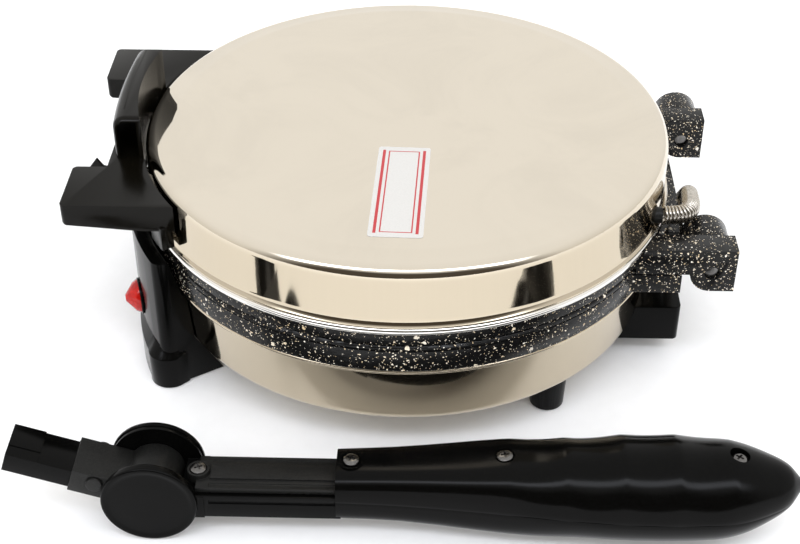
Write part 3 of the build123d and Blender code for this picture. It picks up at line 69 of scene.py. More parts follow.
def at(x, y, z):
    """A point in metres from millimetres off the cooker's axis and above the table."""
    return Vector((AXIS_X + x * MM, AXIS_Y + y * MM, z * MM))


# ---------------------------------------------------------------- materials
def new_tree(name):
    material = bpy.data.materials.new(name)
    material.use_nodes = True
    tree = material.node_tree
    shader = tree.nodes["Principled BSDF"]
    return material, tree, shader


def add(tree, kind, **values):
    """A node with its plain settings and unlinked inputs set."""
    node = tree.nodes.new(kind)
    for key, value in values.items():
        if hasattr(node, key):
            setattr(node, key, value)
        else:
            node.inputs[key.replace("_", " ")].default_value = value
    return node


def link(tree, out, into):
    tree.links.new(out, into)


def object_place(tree, scale=(1, 1, 1), turn=(0, 0, 0)):
    """Object coordinates, scaled and turned."""
    source = add(tree, "ShaderNodeTexCoord")
    mapping = add(tree, "ShaderNodeMapping")
    mapping.inputs["Scale"].default_value = scale
    mapping.inputs["Rotation"].default_value = turn
    link(tree, source.outputs["Object"], mapping.inputs["Vector"])
    return mapping.outputs["Vector"]


def make_grain_group():
    """Fine moulding or casting grain: a mask and a height."""
    group = bpy.data.node_groups.new("surface_grain", "ShaderNodeTree")
    face = group.interface
    face.new_socket("Place", in_out="INPUT", socket_type="NodeSocketVector")
    face.new_socket("Fineness", in_out="INPUT", socket_type="NodeSocketFloat")
    face.new_socket("Low", in_out="INPUT", socket_type="NodeSocketFloat")
    face.new_socket("High", in_out="INPUT", socket_type="NodeSocketFloat")
    face.new_socket("Value", in_out="OUTPUT", socket_type="NodeSocketFloat")
    face.new_socket("Height", in_out="OUTPUT", socket_type="NodeSocketFloat")
    inside = group.nodes.new("NodeGroupInput")
    outside = group.nodes.new("NodeGroupOutput")
    noise = add(group, "ShaderNodeTexNoise", Detail=4.0, Roughness=0.55)
    spread = add(group, "ShaderNodeMapRange")
    spread.inputs["From Min"].default_value = 0.3
    spread.inputs["From Max"].default_value = 0.7
    link(group, inside.outputs["Place"], noise.inputs["Vector"])
    link(group, inside.outputs["Fineness"], noise.inputs["Scale"])
    link(group, noise.outputs["Fac"], spread.inputs["Value"])
    link(group, inside.outputs["Low"], spread.inputs["To Min"])
    link(group, inside.outputs["High"], spread.inputs["To Max"])
    link(group, spread.outputs["Result"], outside.inputs["Value"])
    link(group, noise.outputs["Fac"], outside.inputs["Height"])
    return group


def make_smudge_group():
    """Broad faint marks left by hands and polishing cloths: a value between Low and High."""
    group = bpy.data.node_groups.new("handling_marks", "ShaderNodeTree")
    face = group.interface
    face.new_socket("Place", in_out="INPUT", socket_type="NodeSocketVector")
    face.new_socket("Size", in_out="INPUT", socket_type="NodeSocketFloat")
    face.new_socket("Low", in_out="INPUT", socket_type="NodeSocketFloat")
    face.new_socket("High", in_out="INPUT", socket_type="NodeSocketFloat")
    face.new_socket("Value", in_out="OUTPUT", socket_type="NodeSocketFloat")
    inside = group.nodes.new("NodeGroupInput")
    outside = group.nodes.new("NodeGroupOutput")
    broad = add(group, "ShaderNodeTexNoise", Detail=6.0, Roughness=0.6, Distortion=0.8)
    spread = add(group, "ShaderNodeMapRange", interpolation_type="SMOOTHSTEP")
    spread.inputs["From Min"].default_value = 0.42
    spread.inputs["From Max"].default_value = 0.68
    link(group, inside.outputs["Place"], broad.inputs["Vector"])
    link(group, inside.outputs["Size"], broad.inputs["Scale"])
    link(group, broad.outputs["Fac"], spread.inputs["Value"])
    link(group, inside.outputs["Low"], spread.inputs["To Min"])
    link(group, inside.outputs["High"], spread.inputs["To Max"])
    link(group, spread.outputs["Result"], outside.inputs["Value"])
    return group


GRAIN = make_grain_group()
SMUDGE = make_smudge_group()


def use_group(tree, group, place, **values):
    node = tree.nodes.new("ShaderNodeGroup")
    node.node_tree = group
    link(tree, place, node.inputs["Place"])
    for key, value in values.items():
        node.inputs[key].default_value = value
    return node


def two_tones(tree, mask, first, second):
    """A colour between two, by a mask."""
    mix = add(tree, "ShaderNodeMix", data_type="RGBA")
    mix.inputs["A"].default_value = (*first, 1)
    mix.inputs["B"].default_value = (*second, 1)
    link(tree, mask, mix.inputs["Factor"])
    return mix.outputs["Result"]


def raise_bump(tree, shader, height, strength, distance, under=None):
    bump = add(tree, "ShaderNodeBump")
    bump.inputs["Strength"].default_value = strength
    bump.inputs["Distance"].default_value = distance
    link(tree, height, bump.inputs["Height"])
    if under:
        link(tree, under, bump.inputs["Normal"])
    link(tree, bump.outputs["Normal"], shader.inputs["Normal"])
    return bump.outputs["Normal"]


def moulded(name, dark, light, shine, fineness=900, bump=0.08, metal=0.0, gleam=0.5, depth=0.0002):
    """Moulded plastic, cast or drawn metal: two near tones, uneven gloss and a fine grain."""
    material, tree, shader = new_tree(name)
    place = object_place(tree)
    grain = use_group(tree, GRAIN, place, Fineness=fineness, Low=0.0, High=1.0)
    smudge = use_group(tree, SMUDGE, place, Size=18.0, Low=shine[0], High=shine[1])
    link(tree, two_tones(tree, grain.outputs["Value"], dark, light), shader.inputs["Base Color"])
    link(tree, smudge.outputs["Value"], shader.inputs["Roughness"])
    shader.inputs["Metallic"].default_value = metal
    shader.inputs["Specular IOR Level"].default_value = gleam
    raise_bump(tree, shader, grain.outputs["Height"], bump, depth)
    return material


def mirror_steel(name, tint, wave, shine, drawn=None):
    """Polished pressed steel: a mirror with slow waves, faint polishing lines and handling marks.

    Where drawn is given, it is a darker tint for everything below the lid's flat top, which means
    the lid's walls and the base bowl. It is painted shade: the same steel is coloured darker where
    it looks darker under the light, not a duller steel."""
    material, tree, shader = new_tree(name)
    place = object_place(tree)
    smudge = use_group(tree, SMUDGE, place, Size=9.0, Low=shine[0], High=shine[1])
    link(tree, smudge.outputs["Value"], shader.inputs["Roughness"])
    tone = use_group(tree, SMUDGE, place, Size=14.0, Low=0.0, High=1.0)
    darker = tuple(c * 0.955 for c in tint)
    colour = two_tones(tree, tone.outputs["Value"], tint, darker)
    # painted shade: from just below the flat top downward, the steel's colour is mixed to the
    # darker wall tint
    if drawn:
        split = add(tree, "ShaderNodeSeparateXYZ")
        link(tree, object_place(tree), split.inputs["Vector"])
        depth = add(tree, "ShaderNodeMapRange", interpolation_type="SMOOTHSTEP")
        depth.inputs["From Min"].default_value = (LID_TOP - 1.5) * MM
        depth.inputs["From Max"].default_value = (LID_TOP - 8.0) * MM
        link(tree, split.outputs["Z"], depth.inputs["Value"])
        wall = add(tree, "ShaderNodeMix", data_type="RGBA")
        wall.inputs["B"].default_value = (*drawn, 1)
        link(tree, depth.outputs["Result"], wall.inputs["Factor"])
        link(tree, colour, wall.inputs["A"])
        colour = wall.outputs["Result"]
    link(tree, colour, shader.inputs["Base Color"])
    shader.inputs["Metallic"].default_value = 1.0
    slow = add(tree, "ShaderNodeTexNoise", Scale=22.0, Detail=1.0)
    link(tree, place, slow.inputs["Vector"])
    waves = raise_bump(tree, shader, slow.outputs["Fac"], wave, 0.0006)
    lines = add(tree, "ShaderNodeTexNoise", Scale=1.0, Detail=2.0)
    link(tree, object_place(tree, scale=(2600, 140, 400)), lines.inputs["Vector"])
    raise_bump(tree, shader, lines.outputs["Fac"], 0.010, 0.0002, under=waves)
    return material


def granite_coat(name):
    """Black non-stick coating with cream and tan flecks of several sizes."""
    material, tree, shader = new_tree(name)
    place = object_place(tree)
    warp = add(tree, "ShaderNodeTexNoise", Scale=700.0, Detail=2.0)
    link(tree, place, warp.inputs["Vector"])
    shift = add(tree, "ShaderNodeVectorMath", operation="MULTIPLY_ADD")
    shift.inputs[1].default_value = (0.0016, 0.0016, 0.0016)
    link(tree, warp.outputs["Color"], shift.inputs[0])
    link(tree, place, shift.inputs[2])
    masks = []
    for scale, few, size in ((300.0, 0.90, 0.34), (720.0, 0.66, 0.36), (1300.0, 0.62, 0.40)):
        cells = add(tree, "ShaderNodeTexVoronoi", Scale=scale)
        link(tree, shift.outputs["Vector"], cells.inputs["Vector"])
        chosen = add(tree, "ShaderNodeSeparateColor")
        link(tree, cells.outputs["Color"], chosen.inputs["Color"])
        radius = add(tree, "ShaderNodeMapRange", clamp=True)
        radius.inputs["From Min"].default_value = few
        radius.inputs["From Max"].default_value = 1.0
        radius.inputs["To Min"].default_value = 0.0
        radius.inputs["To Max"].default_value = size
        link(tree, chosen.outputs["Red"], radius.inputs["Value"])
        near = add(tree, "ShaderNodeMath", operation="LESS_THAN")
        link(tree, cells.outputs["Distance"], near.inputs[0])
        link(tree, radius.outputs["Result"], near.inputs[1])
        masks.append((near.outputs["Value"], chosen.outputs["Green"]))
    base = use_group(tree, GRAIN, place, Fineness=700.0, Low=0.0, High=1.0)
    colour = two_tones(tree, base.outputs["Value"], (0.0025, 0.0025, 0.0025), (0.007, 0.007, 0.007))
    whole = None
    for mask, hue in masks:
        fleck = two_tones(tree, hue, (0.62, 0.47, 0.27), (0.86, 0.82, 0.73))
        over = add(tree, "ShaderNodeMix", data_type="RGBA")
        link(tree, mask, over.inputs["Factor"])
        link(tree, colour, over.inputs["A"])
        link(tree, fleck, over.inputs["B"])
        colour = over.outputs["Result"]
        if whole is None:
            whole = mask
        else:
            either = add(tree, "ShaderNodeMath", operation="MAXIMUM")
            link(tree, whole, either.inputs[0])
            link(tree, mask, either.inputs[1])
            whole = either.outputs["Value"]
    link(tree, colour, shader.inputs["Base Color"])
    shader.inputs["Specular IOR Level"].default_value = 0.22
    gloss = add(tree, "ShaderNodeMapRange")
    gloss.inputs["To Min"].default_value = 0.24
    gloss.inputs["To Max"].default_value = 0.42
    link(tree, whole, gloss.inputs["Value"])
    link(tree, gloss.outputs["Result"], shader.inputs["Roughness"])
    ripple = add(tree, "ShaderNodeTexNoise", Scale=260.0, Detail=3.0)
    link(tree, place, ripple.inputs["Vector"])
    orange_peel = raise_bump(tree, shader, ripple.outputs["Fac"], 0.35, 0.0005)
    raise_bump(tree, shader, whole, 0.25, 0.00012, under=orange_peel)
    return material


def red_lens(name):
    material, tree, shader = new_tree(name)
    place = object_place(tree)
    depth = use_group(tree, GRAIN, place, Fineness=260.0, Low=0.0, High=1.0)
    link(
        tree, two_tones(tree, depth.outputs["Value"], (0.30, 0.003, 0.002), (0.52, 0.010, 0.005)),
        shader.inputs["Base Color"],
    )
    shine = use_group(tree, SMUDGE, place, Size=60.0, Low=0.07, High=0.14)
    link(tree, shine.outputs["Value"], shader.inputs["Roughness"])
    shader.inputs["Specular IOR Level"].default_value = 0.35
    return material


def printed_label(name):
    """White sticker with a red frame and two red rules at each long side, otherwise bare."""
    material, tree, shader = new_tree(name)
    coords = add(tree, "ShaderNodeTexCoord")
    split = add(tree, "ShaderNodeSeparateXYZ")
    link(tree, coords.outputs["UV"], split.inputs["Vector"])

    def distance_to(axis, line, width):
        away = add(tree, "ShaderNodeMath", operation="SUBTRACT")
        away.inputs[1].default_value = line
        link(tree, split.outputs[axis], away.inputs[0])
        size = add(tree, "ShaderNodeMath", operation="ABSOLUTE")
        link(tree, away.outputs["Value"], size.inputs[0])
        near = add(tree, "ShaderNodeMath", operation="LESS_THAN")
        near.inputs[1].default_value = width
        link(tree, size.outputs["Value"], near.inputs[0])
        return near.outputs["Value"]

    def both(one, other, operation):
        node = add(tree, "ShaderNodeMath", operation=operation)
        link(tree, one, node.inputs[0])
        link(tree, other, node.inputs[1])
        return node.outputs["Value"]

    inside_long = distance_to("X", 0.5, 0.452)
    inside_wide = distance_to("Y", 0.5, 0.300)
    core_long = distance_to("X", 0.5, 0.444)
    core_wide = distance_to("Y", 0.5, 0.274)
    frame_box = both(inside_long, inside_wide, "MULTIPLY")
    frame_core = both(core_long, core_wide, "MULTIPLY")
    ring = both(frame_box, frame_core, "SUBTRACT")
    rules = both(distance_to("Y", 0.115, 0.028), distance_to("Y", 0.885, 0.028), "MAXIMUM")
    rules = both(rules, distance_to("X", 0.5, 0.462), "MULTIPLY")
    printed = both(ring, rules, "MAXIMUM")
    place = object_place(tree)
    fibre = use_group(tree, GRAIN, place, Fineness=1400.0, Low=0.0, High=1.0)
    paper = two_tones(tree, fibre.outputs["Value"], (0.53, 0.52, 0.50), (0.57, 0.56, 0.54))
    over = add(tree, "ShaderNodeMix", data_type="RGBA")
    over.inputs["B"].default_value = (0.42, 0.022, 0.03, 1)
    link(tree, printed, over.inputs["Factor"])
    link(tree, paper, over.inputs["A"])
    link(tree, over.outputs["Result"], shader.inputs["Base Color"])
    shine = use_group(tree, SMUDGE, place, Size=40.0, Low=0.32, High=0.42)
    link(tree, shine.outputs["Value"], shader.inputs["Roughness"])
    raise_bump(tree, shader, fibre.outputs["Height"], 0.04, 0.0001)
    return material


# steel tint warmed to stand for the cream-lit surroundings it mirrors: partly the steel's own
# colour, partly a painted warm reflection
STEEL_WITH_WARM_REFLECTION = (0.77, 0.705, 0.60)
# darker tint below the lid's flat top: painted shade on the lid's walls and the bowl, not a
# different steel
STEEL_WALL_PAINTED_SHADE = (0.545, 0.475, 0.365)
FINISHES = {
    "polished_steel": mirror_steel(
        "polished_steel", STEEL_WITH_WARM_REFLECTION, 0.10, (0.035, 0.075), drawn=STEEL_WALL_PAINTED_SHADE
    ),
    "ring_steel": mirror_steel("ring_steel", (0.86, 0.84, 0.80), 0.04, (0.05, 0.10)),
    "granite_coat": granite_coat("granite_coat"),
    "gloss_black": moulded(
        "gloss_black", (0.0011, 0.0011, 0.0010), (0.0019, 0.0019, 0.0018), (0.14, 0.20), 700, 0.04,
        gleam=0.10,
    ),
    "bracket_black": moulded(
        "bracket_black", (0.0024, 0.0020, 0.0013), (0.0036, 0.0031, 0.0020), (0.18, 0.25), 800,
        0.08, gleam=0.15,
    ),
    "handle_black": moulded(
        "handle_black", (0.0010, 0.0010, 0.0009), (0.0018, 0.0018, 0.0017), (0.16, 0.22), 800, 0.06,
        gleam=0.09,
    ),
    "grained_black": moulded(
        "grained_black", (0.004, 0.004, 0.004), (0.012, 0.012, 0.011), (0.34, 0.46), 1500, 0.40,
        gleam=0.20,
    ),
    "fastener_steel": moulded(
        "fastener_steel", (0.50, 0.50, 0.49), (0.66, 0.65, 0.63), (0.22, 0.36), 500, 0.10, metal=1.0
    ),
    "spring_steel": moulded(
        "spring_steel", (0.50, 0.47, 0.42), (0.66, 0.62, 0.56), (0.20, 0.32), 600, 0.08, metal=1.0
    ),
    "element_steel": moulded(
        "element_steel", (0.16, 0.14, 0.12), (0.30, 0.26, 0.22), (0.4, 0.6), 300, 0.2, metal=1.0
    ),
    "spreader_metal": moulded(
        "spreader_metal", (0.70, 0.71, 0.72), (0.82, 0.83, 0.84), (0.35, 0.5), 260, 0.1, metal=1.0
    ),
    "terminal_brass": moulded(
        "terminal_brass", (0.60, 0.44, 0.18), (0.74, 0.56, 0.26), (0.3, 0.45), 500, 0.1, metal=1.0
    ),
    "insulation_wool": moulded(
        "insulation_wool", (0.62, 0.59, 0.50), (0.82, 0.79, 0.70), (0.85, 0.95), 450, 0.8,
        depth=0.0008,
    ),
    "wire_sleeve": moulded(
        "wire_sleeve", (0.60, 0.56, 0.48), (0.74, 0.70, 0.62), (0.6, 0.75), 1600, 0.5
    ),
    "block_white": moulded(
        "block_white", (0.72, 0.70, 0.65), (0.80, 0.78, 0.73), (0.4, 0.55), 900, 0.1
    ),
    "lens_red": red_lens("lens_red"),
    "lamp_glass": moulded(
        "lamp_glass", (0.80, 0.45, 0.28), (0.90, 0.58, 0.38), (0.08, 0.14), 300, 0.02
    ),
    "bezel_black": moulded(
        "bezel_black", (0.002, 0.002, 0.002), (0.004, 0.004, 0.004), (0.16, 0.26), 700, 0.04,
        gleam=0.12,
    ),
    "label_white": printed_label("label_white"),
    "foot_black": moulded(
        "foot_black", (0.0025, 0.0025, 0.0025), (0.005, 0.005, 0.005), (0.32, 0.45), 900, 0.2,
        gleam=0.10,
    ),
    "bar_steel": moulded(
        "bar_steel", (0.13, 0.125, 0.12), (0.20, 0.195, 0.19), (0.20, 0.34), 420, 0.12, metal=1.0
    ),
}
SLOT_OF = {part["node"]: part["material_slot"] for part in frame["record"]["subparts"]}
BODY_OF = {
    node: body for body, names in frame["record"]["behaviour"]["bodies"].items() for node in names
}

for node_name, node_object in cad_nodes.items():
    node_object.data.materials.clear()
    node_object.data.materials.append(FINISHES[SLOT_OF[node_name]])


# ---------------------------------------------------------------- mesh helpers
def piece_from(bm, name, sharp=40.0, recalc=True):
    """An object from a bmesh, smooth but for edges sharper than the given angle."""
    if recalc:
        bmesh.ops.recalc_face_normals(bm, faces=bm.faces)
    for face in bm.faces:
        face.smooth = True
    limit = math.radians(sharp)
    for edge in bm.edges:
        if len(edge.link_faces) == 2 and edge.calc_face_angle(0) > limit:
            edge.smooth = False
    mesh = bpy.data.meshes.new(name)
    bm.to_mesh(mesh)
    bm.free()
    piece = bpy.data.objects.new(name, mesh)
    bpy.context.scene.collection.objects.link(piece)
    return piece


def dress(piece, node, *more, finish=None):
    """The piece stands for CAD nodes: it takes the first one's body, slot and finish."""
    slot_name = finish or SLOT_OF[node]
    piece.data.materials.clear()
    piece.data.materials.append(FINISHES[slot_name])
    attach(piece, BODY_OF[node])
    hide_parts(node, *more)
    return piece


def arc(centre_r, centre_z, radius, start, stop, steps=8):
    """Points of an arc in an outline, angles in degrees."""
    turn = [math.radians(start + (stop - start) * k / steps) for k in range(steps + 1)]
    return [(centre_r + radius * math.cos(a), centre_z + radius * math.sin(a)) for a in turn]


def spun(name, outline, place, turns=256, sharp=30.0):
    """A closed outline of (radius, height) in mm, spun round. place(radius, angle, height)."""
    bm = bmesh.new()
    rings = []
    for radius, height in outline:
        if radius < 1e-6:
            rings.append([bm.verts.new(place(0.0, 0.0, height))])
        else:
            rings.append([
                bm.verts.new(place(radius, 2 * math.pi * k / turns, height)) for k in range(turns)
            ])
    for one, two in zip(rings, rings[1:] + rings[:1]):
        if len(one) == 1 and len(two) == 1:
            continue
        for k in range(turns):
            after = (k + 1) % turns
            if len(one) == 1:
                bm.faces.new((one[0], two[k], two[after]))
            elif len(two) == 1:
                bm.faces.new((one[k], two[0], one[after]))
            else:
                bm.faces.new((one[k], two[k], two[after], one[after]))
    return piece_from(bm, name, sharp)


def upright(radius, angle, height):
    """Place for pieces spun round the cooker's own axis."""
    return at(radius * math.cos(angle), radius * math.sin(angle), height)


def softened(node, name, edge=0.8, angle=30.0, steps=3, merge=0.004, flat=0.6):
    """A copy of a CAD node with its sharp edges rounded."""
    source = cad_nodes[node]
    bm = bmesh.new()
    bm.from_mesh(source.data)
    bm.transform(source.matrix_world)
    bmesh.ops.remove_doubles(bm, verts=bm.verts, dist=merge * MM)
    bmesh.ops.dissolve_limit(
        bm, angle_limit=math.radians(flat), verts=bm.verts, edges=bm.edges, delimit={"NORMAL"}
    )
    mesh = bpy.data.meshes.new(name)
    bm.to_mesh(mesh)
    bm.free()
    piece = bpy.data.objects.new(name, mesh)
    bpy.context.scene.collection.objects.link(piece)
    rounding = piece.modifiers.new("rounding", "BEVEL")
    rounding.width = edge * MM
    rounding.segments = steps
    rounding.limit_method = "ANGLE"
    rounding.angle_limit = math.radians(angle)
    rounding.use_clamp_overlap = True
    rounding.harden_normals = False
    baked = bake_modifiers(piece)
    bm = bmesh.new()
    bm.from_mesh(baked)
    piece_mesh = piece.data
    bpy.data.objects.remove(piece)
    bpy.data.meshes.remove(piece_mesh)
    bpy.data.meshes.remove(baked)
    return piece_from(bm, name, 32.0, recalc=False)


def bake_modifiers(piece):
    bpy.context.view_layer.update()
    evaluated = piece.evaluated_get(bpy.context.evaluated_depsgraph_get())
    return bpy.data.meshes.new_from_object(evaluated)


# ---------------------------------------------------------------- lid
LID_R = 125.0
SHEET = 0.8
FLAT_R = 111.0
SHOULDER_R = 6.0
RIM_DROP = 1.5


def lid_cover():
    rim_z = LID_TOP - RIM_DROP
    outline = [(0.0, LID_TOP), (60.0, LID_TOP), (FLAT_R - 2.5, LID_TOP)]
    outline += [
        (FLAT_R - 1.2, LID_TOP - 0.03), (FLAT_R, LID_TOP - 0.14), (FLAT_R + 1.2, LID_TOP - 0.34),
        (FLAT_R + 2.6, LID_TOP - 0.62),
    ]
    outline += arc(LID_R - SHOULDER_R, rim_z - SHOULDER_R, SHOULDER_R, 86, 0, 14)
    outline += [(LID_R, COVER_FOOT + 4.0)]
    outline += [
        (LID_R + 0.25, COVER_FOOT + 2.6), (LID_R + 0.8, COVER_FOOT + 1.5),
        (LID_R + 1.5, COVER_FOOT + 0.8), (LID_R + 1.6, COVER_FOOT + 0.3), (LID_R + 1.5, COVER_FOOT),
        (LID_R - SHEET, COVER_FOOT),
    ]
    outline += arc(LID_R - SHOULDER_R, rim_z - SHOULDER_R, SHOULDER_R - SHEET, 0, 86, 10)
    outline += [(FLAT_R, LID_TOP - SHEET - 0.5), (0.0, LID_TOP - SHEET - 0.5)]
    return dress(spun("lid_cover_sheet", outline, upright, 320), "lid_cover")


def lid_trim_ring():
    low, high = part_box("lid_trim_ring")
    z0, z1 = low[2] / MM, high[2] / MM
    outer = (high[0] - low[0]) / 2 / MM
    radius = (z1 - z0) / 2
    mid = (z0 + z1) / 2
    outline = arc(outer - radius, mid, radius, -90, 90, 12)
    outline += [(LID_R - 2.4, z1), (LID_R - 2.4, z0)]
    return dress(spun("lid_trim_bead", outline, upright, 320), "lid_trim_ring")


def base_bowl():
    low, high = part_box("base_bowl")
    floor, rim = low[2] / MM, high[2] / MM
    wall_top, wall_low, corner, sheet = 122.0, 119.5, 5.5, 1.0
    bead, bead_out = 1.1, 0.9
    outline = [(0.0, floor), (wall_low - corner, floor)]
    outline += arc(wall_low - corner, floor + corner, corner, -90, -4, 12)
    outline += [(wall_low, floor + corner), (wall_top - 0.1, rim - 2 * bead - 0.4)]
    outline += arc(wall_top + bead_out, rim - bead, bead, -120, 120, 14)
    outline += [(wall_top - sheet, rim - 0.4), (wall_low - sheet, floor + corner)]
    outline += arc(wall_low - corner, floor + corner, corner - sheet, 0, -90, 8)
    outline += [(0.0, floor + sheet)]
    return dress(spun("base_bowl_shell", outline, upright, 320), "base_bowl")


def lid_label():
    low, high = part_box("lid_label")
    middle = Vector(((low[0] + high[0]) / 2, (low[1] + high[1]) / 2, 0))
    half_x, half_y, lean = 36.5 * MM, 12.0 * MM, math.radians(-2.0)
    corner, steps = 1.5 * MM, 5
    outline = []
    for cx, cy, start in ((1, 1, 0), (-1, 1, 90), (-1, -1, 180), (1, -1, 270)):
        for k in range(steps + 1):
            a = math.radians(start + 90 * k / steps)
            outline.append((
                cx * (half_x - corner) + corner * math.cos(a),
                cy * (half_y - corner) + corner * math.sin(a),
            ))
    bm = bmesh.new()
    uv = bm.loops.layers.uv.new("label")
    turn = Matrix.Rotation(lean, 2)
    levels = []
    for z in (low[2], high[2]):
        level = []
        for x, y in outline:
            spot = turn @ Vector((x, y))
            level.append(bm.verts.new((middle.x + spot.x, middle.y + spot.y, z)))
        levels.append(level)
    flat = {}
    for level in levels:
        for vert, (x, y) in zip(level, outline):
            flat[vert] = (x / (2 * half_x) + 0.5, y / (2 * half_y) + 0.5)
    bm.faces.new(levels[1])
    bm.faces.new(list(reversed(levels[0])))
    count = len(outline)
    for k in range(count):
        after = (k + 1) % count
        bm.faces.new((levels[0][k], levels[0][after], levels[1][after], levels[1][k]))
    for face in bm.faces:
        for loop in face.loops:
            loop[uv].uv = flat[loop.vert]
    return dress(piece_from(bm, "lid_sticker", 30), "lid_label")


# ---------------------------------------------------------------- cable sleeve
def coil_tree():
    """Geometry Nodes: winds a wire round the input curve."""
    tree = bpy.data.node_groups.new("wound_wire", "GeometryNodeTree")
    face = tree.interface
    face.new_socket("Geometry", in_out="INPUT", socket_type="NodeSocketGeometry")
    for label in ("Coil Radius", "Wire Radius", "Pitch"):
        face.new_socket(label, in_out="INPUT", socket_type="NodeSocketFloat")
    face.new_socket("Material", in_out="INPUT", socket_type="NodeSocketMaterial")
    face.new_socket("Geometry", in_out="OUTPUT", socket_type="NodeSocketGeometry")
    nodes = tree.nodes
    given = nodes.new("NodeGroupInput")
    result = nodes.new("NodeGroupOutput")
    per_turn = 18
    step = nodes.new("ShaderNodeMath")
    step.operation = "DIVIDE"
    step.inputs[1].default_value = per_turn
    link(tree, given.outputs["Pitch"], step.inputs[0])
    resample = nodes.new("GeometryNodeResampleCurve")
    resample.mode = "LENGTH"
    link(tree, given.outputs["Geometry"], resample.inputs["Curve"])
    link(tree, step.outputs["Value"], resample.inputs["Length"])
    index = nodes.new("GeometryNodeInputIndex")
    angle = nodes.new("ShaderNodeMath")
    angle.operation = "MULTIPLY"
    angle.inputs[1].default_value = 2 * math.pi / per_turn
    link(tree, index.outputs["Index"], angle.inputs[0])
    normal = nodes.new("GeometryNodeInputNormal")
    tangent = nodes.new("GeometryNodeInputTangent")
    turned = nodes.new("ShaderNodeVectorRotate")
    turned.rotation_type = "AXIS_ANGLE"
    link(tree, normal.outputs["Normal"], turned.inputs["Vector"])
    link(tree, tangent.outputs["Tangent"], turned.inputs["Axis"])
    link(tree, angle.outputs["Value"], turned.inputs["Angle"])
    reach = nodes.new("ShaderNodeVectorMath")
    reach.operation = "SCALE"
    link(tree, turned.outputs["Vector"], reach.inputs[0])
    link(tree, given.outputs["Coil Radius"], reach.inputs["Scale"])
    move = nodes.new("GeometryNodeSetPosition")
    link(tree, resample.outputs["Curve"], move.inputs["Geometry"])
    link(tree, reach.outputs["Vector"], move.inputs["Offset"])
    ring = nodes.new("GeometryNodeCurvePrimitiveCircle")
    ring.inputs["Resolution"].default_value = 8
    link(tree, given.outputs["Wire Radius"], ring.inputs["Radius"])
    sweep = nodes.new("GeometryNodeCurveToMesh")
    sweep.inputs["Fill Caps"].default_value = True
    link(tree, move.outputs["Geometry"], sweep.inputs["Curve"])
    link(tree, ring.outputs["Curve"], sweep.inputs["Profile Curve"])
    smooth = nodes.new("GeometryNodeSetShadeSmooth")
    link(tree, sweep.outputs["Mesh"], smooth.inputs["Geometry"])
    real = nodes.new("GeometryNodeRealizeInstances")
    link(tree, smooth.outputs["Geometry"], real.inputs["Geometry"])
    finish = nodes.new("GeometryNodeSetMaterial")
    link(tree, real.outputs["Geometry"], finish.inputs["Geometry"])
    link(tree, given.outputs["Material"], finish.inputs["Material"])
    link(tree, finish.outputs["Geometry"], result.inputs["Geometry"])
    return tree


def set_input(modifier, label, value):
    for item in modifier.node_group.interface.items_tree:
        if item.item_type == "SOCKET" and item.in_out == "INPUT" and item.name == label:
            modifier[item.identifier] = value


def cable_sleeve():
    """Two smooth bends from the grommet in the lid's wall to the one in the bowl's."""
    lid_end = at(43.0, 120.17, 83.2)
    base_end = at(-17.0, 122.85, 45.0)
    middle = at(14.5, 137.1, 75.0)
    bends = [
        (lid_end, lid_end, at(43.0, 133.5, 83.4)),
        (middle, at(38.5, 134.64, 82.65), at(-4.0, 139.0, 69.1)),
        (base_end, at(-17.0, 143.0, 46.5), base_end),
    ]
    curve = bpy.data.curves.new("sleeve_route", "CURVE")
    curve.dimensions = "3D"
    curve.resolution_u = 48
    spline = curve.splines.new("BEZIER")
    spline.bezier_points.add(len(bends) - 1)
    for point, (spot, before, after) in zip(spline.bezier_points, bends):
        point.handle_left_type = point.handle_right_type = "FREE"
        point.co, point.handle_left, point.handle_right = spot, before, after
    path = bpy.data.objects.new("sleeve_route", curve)
    bpy.context.scene.collection.objects.link(path)
    winding = path.modifiers.new("winding", "NODES")
    winding.node_group = coil_tree()
    set_input(winding, "Coil Radius", 3.8 * MM)
    set_input(winding, "Wire Radius", 0.68 * MM)
    set_input(winding, "Pitch", 1.5 * MM)
    set_input(winding, "Material", FINISHES["spring_steel"])
    mesh = bake_modifiers(path)
    bpy.data.objects.remove(path)
    piece = bpy.data.objects.new("cable_sleeve_coil", mesh)
    bpy.context.scene.collection.objects.link(piece)
    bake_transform(piece)
    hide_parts("cable_spring_sleeve")
    return piece


# ---------------------------------------------------------------- handle
cheek_low, cheek_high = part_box("lever_shaft_lower")
disc_low, disc_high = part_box("near_disc")
PIVOT_Y = (disc_low[1] + disc_high[1]) / 2
PIVOT_Z = (disc_low[2] + disc_high[2]) / 2
HANDLE_X = (cheek_low[0] + cheek_high[0]) / 2
DISC_R = (disc_high[2] - disc_low[2]) / 2 / MM


def pivot_disc(node, name, side):
    low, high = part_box(node)
    inner = (low[0] if side > 0 else high[0])
    thick = (high[0] - low[0]) / MM
    outline = [(0.0, 0.0), (DISC_R - 0.4, 0.0), (DISC_R, 0.4)]
    outline += arc(DISC_R - 1.1, thick - 1.25, 1.1, 0, 90, 6)
    outline += [
        (DISC_R - 2.0, thick - 0.15), (DISC_R - 2.6, thick - 0.4), (DISC_R - 4.0, thick - 0.42),
        (DISC_R * 0.6, thick - 0.12), (DISC_R * 0.3, thick - 0.02), (0.0, thick),
    ]

    def place(radius, angle, out):
        return Vector((
            inner + side * out * MM,
            PIVOT_Y + radius * MM * math.cos(angle), PIVOT_Z + radius * MM * math.sin(angle),
        ))

    return dress(spun(name, outline, place, 128), node)


